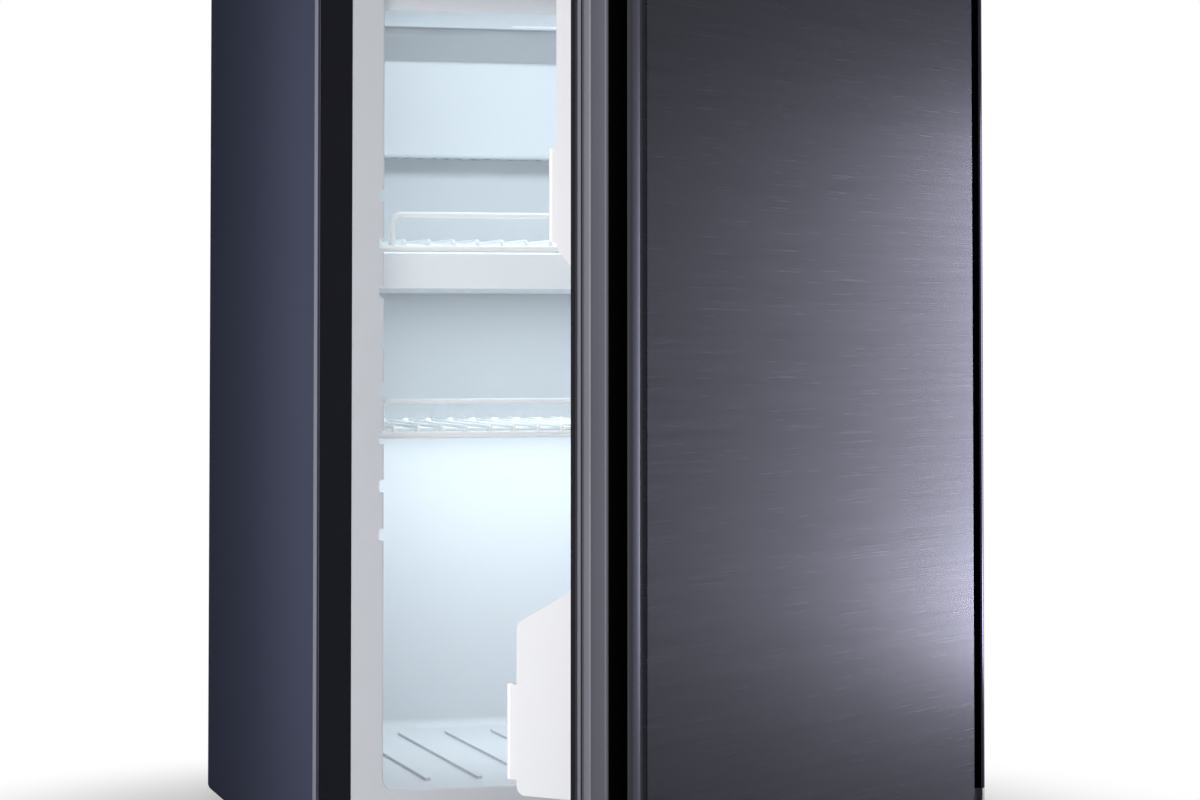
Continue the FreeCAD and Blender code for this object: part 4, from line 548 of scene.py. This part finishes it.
# %% Gasket ring
GASKET_SPAN = (-195.8, 184.4, 30.5, 554.0)
GASKET_SECTION = ((0.0, -198.5), (12.0, -198.5), (12.0, -197.9), (9.3, -197.6), (8.1, -197.2),
                  (8.4, -196.6), (7.9, -196.32), (5.9, -196.32), (5.6, -196.5), (5.3, -196.32),
                  (3.4, -196.32), (3.1, -196.5), (2.8, -196.32), (0.9, -196.32), (0.45, -196.6),
                  (0.7, -197.2), (0.0, -197.6))
SKIRT_BOX, SKIRT_EDGE = ((-195.8, -200.0, 33.5), (-194.2, -197.9, 551.0)), 0.4


def rectangle_edges(shape, span, inset, y):
    """The four edges of an upright rectangle, inset from a span of left, right, low and high."""
    low_x, high_x = span[0] + inset, span[1] - inset
    low_z, high_z = span[2] + inset, span[3] - inset
    spots = [(low_x, y, low_z), (high_x, y, low_z), (high_x, y, high_z), (low_x, y, high_z)]
    made = [shape.verts.new(spot) for spot in spots]
    return [shape.edges.new((made[index - 1], made[index])) for index in range(4)]


gasket = bmesh.new()
rings = [rectangle_edges(gasket, GASKET_SPAN, inset, y) for inset, y in GASKET_SECTION]
for first, second in zip(rings, rings[1:] + rings[:1]):
    bmesh.ops.bridge_loops(gasket, edges=first + second)
box_into(gasket, *SKIRT_BOX, SKIRT_EDGE)
piece_from(gasket, "gasket_ring", (gasket_dark,), "door", "door_gasket", on_door=True)

# %% [markdown]
# ## Wire shelves
# A coated wire shelf is a bent frame wire with thinner wires laid over it, their ends turned down
# and welded to its front and back. A curve with a round section is the natural way to draw bent
# wire: each path is given by its corners, every corner becomes an arc, and the radius is kept
# with the points, so one curve can hold all the gauges.

# %% Paths of bent wire
def bent(path, radius, closed=False, steps=5):
    """The path with each corner turned into an arc."""
    spots = [Vector(spot) for spot in path]
    rounded = []
    for index, corner in enumerate(spots):
        if not closed and index in (0, len(spots) - 1):
            rounded.append(corner)
            continue
        before = (spots[index - 1] - corner).normalized() * radius
        after = (spots[(index + 1) % len(spots)] - corner).normalized() * radius
        for step in range(steps + 1):
            share = step / steps
            rounded.append(corner + before * (1 - share) ** 2 + after * share ** 2)
    return rounded


def wires_mesh(name, wires):
    """One mesh of round wires; each is a path with its radius in millimetres, open or closed."""
    curve = bpy.data.curves.new(name, "CURVE")
    curve.dimensions = "3D"
    curve.bevel_depth = MM
    curve.bevel_resolution = 3
    curve.use_fill_caps = True
    for spots, radius, closed in wires:
        spline = curve.splines.new("POLY")
        spline.points.add(len(spots) - 1)
        for point, spot in zip(spline.points, spots):
            point.co = (*(spot * MM), 1.0)
            point.radius = radius
        spline.use_cyclic_u = closed
    holder = bpy.data.objects.new(name, curve)
    data = bpy.data.meshes.new_from_object(holder)
    data.name = name
    bpy.data.objects.remove(holder)
    return data


print("wire helpers ready")

# %% [markdown]
# The frame wire is the thickest and goes right round. The deck wires lie across it from front to
# back, two brace wires run under them from side to side, and a guard wire stands up in front. The
# upper shelf is the deeper one. Both come from one function, which takes the front and the level.

# %% Two shelves from one function
SHELF_HALF, SHELF_BACK = 158.55, 84.0
FRAME_WIRE, DECK_WIRE, BRACE_WIRE, GUARD_WIRE = 2.25, 1.2, 1.75, 1.75
FRAME_BEND, DECK_BEND, GUARD_BEND = 9.0, 2.4, 6.0
DECK_EACH_SIDE, DECK_PITCH, DECK_RISE = 10, 15.0, 4.6
BRACE_INSET, BRACE_WELD = 70.0, 0.4
GUARD_INSET, GUARD_RISE = 16.0, 20.0
SHELVES = (("shelf_upper", -142.0, 374.25), ("shelf_lower", -114.0, 262.45))


def shelf_wires(front, level):
    """All wires of one shelf, each with its radius and whether it is closed."""
    half, back = SHELF_HALF, SHELF_BACK
    ring = [(-half, front, level), (half, front, level), (half, back, level), (-half, back, level)]
    wires = [(bent(ring, FRAME_BEND, closed=True), FRAME_WIRE, True)]
    deck = level + DECK_RISE
    foot = level + FRAME_WIRE / 2
    for index in range(-DECK_EACH_SIDE, DECK_EACH_SIDE + 1):
        x = index * DECK_PITCH
        path = [(x, front, foot), (x, front, deck), (x, back, deck), (x, back, foot)]
        wires.append((bent(path, DECK_BEND), DECK_WIRE, False))
    brace = deck - DECK_WIRE - BRACE_WIRE + BRACE_WELD
    for y in (front + BRACE_INSET, back - BRACE_INSET):
        wires.append(([Vector((-half, y, brace)), Vector((half, y, brace))], BRACE_WIRE, False))
    end, top = half - GUARD_INSET, level + GUARD_RISE
    guard = [(-end, front, level), (-end, front, top), (end, front, top), (end, front, level)]
    wires.append((bent(guard, GUARD_BEND), GUARD_WIRE, False))
    return wires


for node, front, level in SHELVES:
    grid = wires_mesh(node + "_wires", shelf_wires(front, level))
    place_piece(grid, node + "_wires", (wire_white,), node, node)

# %% [markdown]
# ## Knob and feet
# Both are turned parts. The knob starts from a circle and goes up in steps, each a rise and a
# scale. Above the collar, every other group of three points is pulled in, which gives the flutes
# of the grip. A spindle goes into the fascia, and a small bar on top marks the setting.

# %% Fluted knob
KNOB_X, KNOB_Z, KNOB_FACE = 92.0, 520.0, -180.3
KNOB_RADIUS, KNOB_POINTS = 6.2, 72
COLLAR_STEPS = ((0.4, 1.0), (1.6, 0.97), (0.5, 0.84))
GRIP_STEPS = ((5.4, 0.95), (0.6, 0.93), (0.35, 0.84))
FLUTE_POINTS, FLUTE_PULL = 3, 0.94
SPINDLE_RADIUS, SPINDLE_LENGTH, SPINDLE_MIDDLE = 2.0, 11.3, -2.65
MARK_HALF, MARK_FROM, MARK_TO = 0.35, 1.2, 3.6
MARK_SUNK, MARK_PROUD, MARK_EDGE = 0.1, 0.12, 0.1
knob_white = finish_of("knob_mark", (0.80, 0.81, 0.83), (0.74, 0.75, 0.77), (0.3, 0.4), bump=0.03)


def step_up(shape, face, rise, scale):
    """Raises a face on new side walls and scales it about its middle."""
    made = bmesh.ops.extrude_face_region(shape, geom=[face])["geom"]
    grown = next(item for item in made if isinstance(item, bmesh.types.BMFace))
    bmesh.ops.translate(shape, vec=(0, 0, rise), verts=grown.verts)
    about = Matrix.Translation(-grown.calc_center_median())
    bmesh.ops.scale(shape, vec=(scale, scale, 1), space=about, verts=grown.verts)
    return grown


knob = bmesh.new()
bmesh.ops.create_circle(knob, cap_ends=True, radius=KNOB_RADIUS, segments=KNOB_POINTS)
top = next(iter(knob.faces))
for rise, scale in COLLAR_STEPS:
    top = step_up(knob, top, rise, scale)
for index, spot in enumerate(list(top.verts)):
    if index % (2 * FLUTE_POINTS) < FLUTE_POINTS:
        spot.co.x *= FLUTE_PULL
        spot.co.y *= FLUTE_PULL
for rise, scale in GRIP_STEPS:
    top = step_up(knob, top, rise, scale)
knob_height = max(spot.co.z for spot in knob.verts)
bmesh.ops.create_cone(knob, cap_ends=True, segments=24, radius1=SPINDLE_RADIUS,
                      radius2=SPINDLE_RADIUS, depth=SPINDLE_LENGTH,
                      matrix=Matrix.Translation((0, 0, SPINDLE_MIDDLE)))
plain = len(knob.faces)
box_into(knob, (-MARK_HALF, MARK_FROM, knob_height - MARK_SUNK),
         (MARK_HALF, MARK_TO, knob_height + MARK_PROUD), MARK_EDGE)
for face in list(knob.faces)[plain:]:
    face.material_index = 1
to_front = Matrix.Rotation(math.radians(90), 3, "X")
bmesh.ops.rotate(knob, cent=(0, 0, 0), matrix=to_front, verts=knob.verts)
bmesh.ops.translate(knob, vec=(KNOB_X, KNOB_FACE, KNOB_Z), verts=knob.verts)
piece_from(knob, "knob_fluted", (knob_grey, knob_white), "thermostat_knob", "thermostat_knob")

# %% [markdown]
# A foot is its half section, of radius and height, spun once round its axis. The small steps in
# it are ribs to grip it by.

# %% Turned feet
FOOT_SECTION = ((0.0, 0.0), (11.4, 0.0), (12.2, 0.3), (12.6, 1.0), (12.9, 3.0), (12.5, 3.3),
                (12.5, 3.8), (13.1, 4.1), (13.6, 6.4), (13.2, 6.7), (13.2, 7.2), (13.8, 7.5),
                (14.6, 10.4), (14.3, 11.0), (3.0, 11.0), (3.0, 12.5), (0.0, 12.5))
FOOT_X, FOOT_Y, FOOT_STEPS = 164.0, 146.0, 40
feet = bmesh.new()
for x in (-FOOT_X, FOOT_X):
    for y in (-FOOT_Y, FOOT_Y):
        spots = [feet.verts.new((x + radius, y, z)) for radius, z in FOOT_SECTION]
        lines = [feet.edges.new(pair) for pair in zip(spots, spots[1:])]
        bmesh.ops.spin(feet, geom=spots + lines, cent=(x, y, 0), axis=(0, 0, 1),
                       angle=2 * math.pi, steps=FOOT_STEPS, use_merge=True)
piece_from(feet, "turned_feet", (foot_rubber,), "cabinet", "feet")

# %% [markdown]
# The floor is one pale sheet just under the feet. Near the fridge it takes light and shadow like
# any surface, and further out it fades into plain white, so it has no horizon. Both the fade and
# the white of the world are only for the camera, for reflections and for see-through pieces.
# Where light is gathered, the floor stays a pale surface and the world a soft grey.

# %% Floor and world
FLOOR_SIZE, FLOOR_DROP = 6.0, -0.0005
FADE_BEGINS, FADE_DONE = 0.26, 0.50
WORLD_GATHERED, WORLD_SEEN = 0.42, 1.0


def looked_at(tree):
    """1 where the camera, a reflection or a see-through piece looks, 0 where light is gathered."""
    paths = tree.nodes.new("ShaderNodeLightPath").outputs
    value = paths["Is Camera Ray"]
    for label in ("Is Glossy Ray", "Is Transmission Ray"):
        value = math_of(tree, "MAXIMUM", value, paths[label])
    return value


sheet = bmesh.new()
bmesh.ops.create_grid(sheet, x_segments=1, y_segments=1, size=FLOOR_SIZE)
floor_data = bpy.data.meshes.new("floor")
sheet.to_mesh(floor_data)
sheet.free()
floor = bpy.data.objects.new("floor", floor_data)
bpy.context.collection.objects.link(floor)
floor.location.z = FLOOR_DROP

floor_material = bpy.data.materials.new("floor_pale")
floor_material.use_nodes = True
tree = floor_material.node_tree
bsdf = tree.nodes["Principled BSDF"]
bsdf.inputs["Roughness"].default_value = 0.7
bsdf.inputs["Specular IOR Level"].default_value = 0.2
place = tree.nodes.new("ShaderNodeTexCoord").outputs["Object"]
skin = place_group(tree, mottle, {"Vector": place, "Light": (0.93, 0.93, 0.93, 1),
                                  "Dark": (0.90, 0.90, 0.90, 1), "Patch Scale": 1.0})
feed(tree, bsdf.inputs["Base Color"], skin["Color"])
distance = vector_math_of(tree, "LENGTH", (place,), "Value")
fade = range_of(tree, distance, start=FADE_BEGINS, end=FADE_DONE, kind="SMOOTHSTEP")
white = tree.nodes.new("ShaderNodeEmission")
blend = tree.nodes.new("ShaderNodeMixShader")
feed(tree, blend.inputs[0], math_of(tree, "MULTIPLY", fade, looked_at(tree)))
feed(tree, blend.inputs[1], bsdf.outputs[0])
feed(tree, blend.inputs[2], white.outputs[0])
feed(tree, tree.nodes["Material Output"].inputs["Surface"], blend.outputs[0])
floor_data.materials.append(floor_material)

world = bpy.data.worlds.new("studio")
bpy.context.scene.world = world
world.use_nodes = True
sky = world.node_tree
background = sky.nodes["Background"].inputs
background["Color"].default_value = (1, 1, 1, 1)
feed(sky, background["Strength"], range_of(sky, looked_at(sky), WORLD_GATHERED, WORLD_SEEN))
print("floor and world ready")

# %% [markdown]
# The lamps are soft boxes. Two low ones on the right are seen as the bright sweep in the brushed
# front, one stands high in front, and two narrow ones light the front left edge, so the painted
# side fades towards the back. Small cool lamps in the compartment do what the light of the fridge
# and its white walls do in real life; they don't show in reflections. Three of them aim down and
# a little back, and the fourth lights the back wall.

# %% Lights
COOL = (0.86, 0.97, 1.0)
DOWN_AND_BACK = Vector((0, 0.02, -0.1))
STUDIO_LAMPS = (
    ("sweep_right", (1.30, 0.27, 0.19), (0.15, -0.3, 0.23), (0.30, 0.68), 15.5),
    ("sweep_low", (1.28, 0.27, 0.06), (0.15, -0.3, 0.08), (0.30, 0.10), 3),
    ("fill_front", (-0.3, -2.8, 2.2), (0, -0.1, 0.3), (1.8, 1.4), 21),
    ("key_left", (-0.40, -0.74, 0.34), (-0.12, -0.15, 0.30), (0.22, 0.6), 0.8),
    ("side_left", (-0.44, -0.19, 0.33), (-0.19, -0.19, 0.33), (0.06, 0.62), 1.3),
)
SHELF_LAMPS = (
    ("glow_top", (0.0, -0.09, 0.505), (0.24, 0.06), 0.46),
    ("glow_middle", (0.0, -0.03, 0.338), (0.26, 0.16), 0.31),
    ("glow_low", (0.0, -0.02, 0.254), (0.26, 0.16), 0.37),
)
WALL_LAMP = ("glow_wall", (0, 0.02, 0.510), (0, 0.092, 0.516), (0.26, 0.008), 0.035)


def soft_light(name, place, aim, size, watts, color=(1, 1, 1)):
    """A rectangular lamp that looks from its place to its aim and is hidden from the camera."""
    data = bpy.data.lights.new(name, "AREA")
    data.shape = "RECTANGLE"
    data.size, data.size_y = size
    data.energy = watts
    data.color = color
    lamp = bpy.data.objects.new(name, data)
    bpy.context.collection.objects.link(lamp)
    lamp.location = place
    lamp.rotation_euler = (Vector(aim) - Vector(place)).to_track_quat("-Z", "Y").to_euler()
    lamp.visible_camera = False
    return lamp


for lamp in STUDIO_LAMPS:
    soft_light(*lamp)
for name, place, size, watts in SHELF_LAMPS:
    soft_light(name, place, Vector(place) + DOWN_AND_BACK, size, watts, COOL).visible_glossy = False
soft_light(*WALL_LAMP, COOL).visible_glossy = False

# %% [markdown]
# The camera stands about two metres away, to the left and a little above the middle of the
# fridge, with a long lens. It tilts up by two degrees while the shift moves the picture down,
# which gives the upright edges their slight lean.

# %% Camera
CAMERA_PLACE = (-0.5484, -2.036, 0.3221)
CAMERA_TILT, CAMERA_TURN = 0.036, -0.275
camera_data = bpy.data.cameras.new("camera")
camera_data.sensor_width = 36.0
camera_data.lens = 97.59
camera_data.shift_y = -0.151
camera_data.clip_start, camera_data.clip_end = 0.05, 50
camera = bpy.data.objects.new("camera", camera_data)
bpy.context.collection.objects.link(camera)
camera.location = CAMERA_PLACE
camera.rotation_euler = (math.pi / 2 + CAMERA_TILT, 0, CAMERA_TURN)
bpy.context.scene.camera = camera
bpy.context.scene.view_settings.view_transform = "Standard"
print("camera at", [round(v, 3) for v in camera.location])
